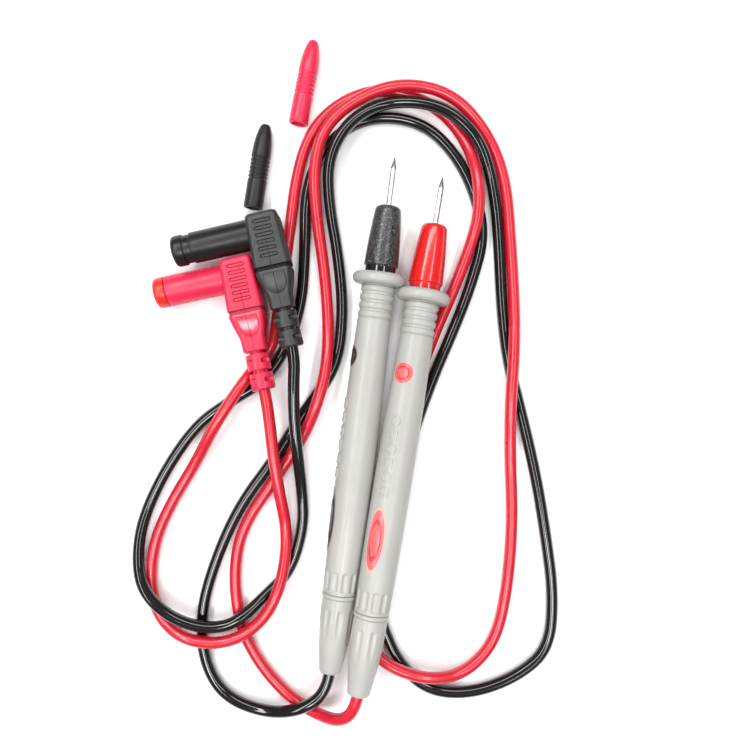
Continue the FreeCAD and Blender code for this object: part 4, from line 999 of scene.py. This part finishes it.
def make_floor(stage):
    bm = bmesh.new()
    bmesh.ops.create_grid(bm, x_segments=1, y_segments=1, size=FLOOR_HALF)
    material, tree, shader, spots = start_material("pale floor")
    colour = tuple(stage.floor_colour)
    tone = two_tones(tree, noise(tree, spots, 60, 2), shade_of(colour, 0.995), shade_of(colour, 1.005))
    tree.links.new(tone, shader.inputs["Base Color"])
    shader.inputs["Roughness"].default_value = 0.9
    shader.inputs["Specular IOR Level"].default_value = 0.1
    floor = finish_piece("floor", bm, Matrix.Translation((0, 0, -FLOOR_DROP)), [material])


# Each lamp's name, place and size in metres, and power in watts. All of them aim at the middle of the floor.
LAMPS = (
    ("strip left", (-0.50, 0.05, 0.85), (1.1, 0.13), 6.5),
    ("strip right", (0.40, -0.10, 0.92), (1.1, 0.08), 4.2),
    ("softbox back", (-0.05, 0.62, 0.95), (0.9, 0.25), 5.5),
    ("softbox front", (-0.07, -0.42, 1.0), (0.30, 0.24), 4.2),
)
ROOM_LIGHT = 0.28
CAMERA_OVER = (10 * MM, -5 * MM)


def make_lights():
    """A dim white room, two long strips and two softboxes, which draw narrow lines along round gloss."""
    for name, place, size, power in LAMPS:
        light = bpy.data.lights.new(name, "AREA")
        light.shape = "RECTANGLE"
        light.size, light.size_y = size
        light.energy = power
        lamp = bpy.data.objects.new(name, light)
        lamp.location = place
        lamp.rotation_euler = (-Vector(place)).to_track_quat("-Z", "Y").to_euler()
        bpy.context.collection.objects.link(lamp)
    world = bpy.data.worlds.new("studio")
    world.use_nodes = True
    world.node_tree.nodes["Background"].inputs["Color"].default_value = (1, 1, 1, 1)
    world.node_tree.nodes["Background"].inputs["Strength"].default_value = ROOM_LIGHT
    bpy.context.scene.world = world
    bpy.context.scene.view_settings.view_transform = "Standard"


def make_camera(stage):
    camera = bpy.data.cameras.new("camera")
    camera.angle = stage.view_angle
    camera.clip_start = 0.01
    holder = bpy.data.objects.new("camera", camera)
    holder.location = (*CAMERA_OVER, stage.camera_height)
    bpy.context.collection.objects.link(holder)
    bpy.context.scene.camera = holder


class LEADS_PT_panel(bpy.types.Panel):
    """Lists the settings and the pieces"""

    bl_idname = "LEADS_PT_panel"
    bl_label = "Test Leads"
    bl_space_type = "VIEW_3D"
    bl_region_type = "UI"
    bl_category = "Test Leads"

    def draw(self, context):
        scene = context.scene
        groups = ((scene.lead_probes, ("needle_diameter", "guard_diameter", "handle_flutes", "tail_flutes")),
                  (scene.lead_plugs, ("thickness", "shroud_diameter", "slots")),
                  (scene.lead_cables, ("diameter", "gloss")),
                  (scene.lead_colours, ("handle", "red_plastic", "red_nose", "red_cable", "black_plastic",
                                        "black_cable")),
                  (scene.lead_stage, ("camera_height", "view_angle", "floor_colour")))
        for settings, names in groups:
            box = self.layout.box()
            for name in names:
                box.prop(settings, name)
        for operator in OPERATORS:
            self.layout.operator(operator.bl_idname)


SETTINGS = {
    "lead_probes": ProbeSettings,
    "lead_plugs": PlugSettings,
    "lead_cables": CableSettings,
    "lead_colours": ColourSettings,
    "lead_stage": StageSettings,
}
OPERATORS = (LEADS_OT_probes, LEADS_OT_inner_pieces, LEADS_OT_plugs, LEADS_OT_covers, LEADS_OT_cables,
             LEADS_OT_stage)


def register():
    for name, group in SETTINGS.items():
        bpy.utils.register_class(group)
        setattr(bpy.types.Scene, name, bpy.props.PointerProperty(type=group))
    for operator in OPERATORS:
        bpy.utils.register_class(operator)
    bpy.utils.register_class(LEADS_PT_panel)


def unregister():
    bpy.utils.unregister_class(LEADS_PT_panel)
    for operator in reversed(OPERATORS):
        bpy.utils.unregister_class(operator)
    for name, group in SETTINGS.items():
        delattr(bpy.types.Scene, name)
        bpy.utils.unregister_class(group)


def main():
    register()
    bpy.ops.leads.probes()
    bpy.ops.leads.inner_pieces()
    bpy.ops.leads.plugs()
    bpy.ops.leads.covers()
    bpy.ops.leads.cables()
    bpy.ops.leads.stage()


if __name__ == "__main__":
    main()
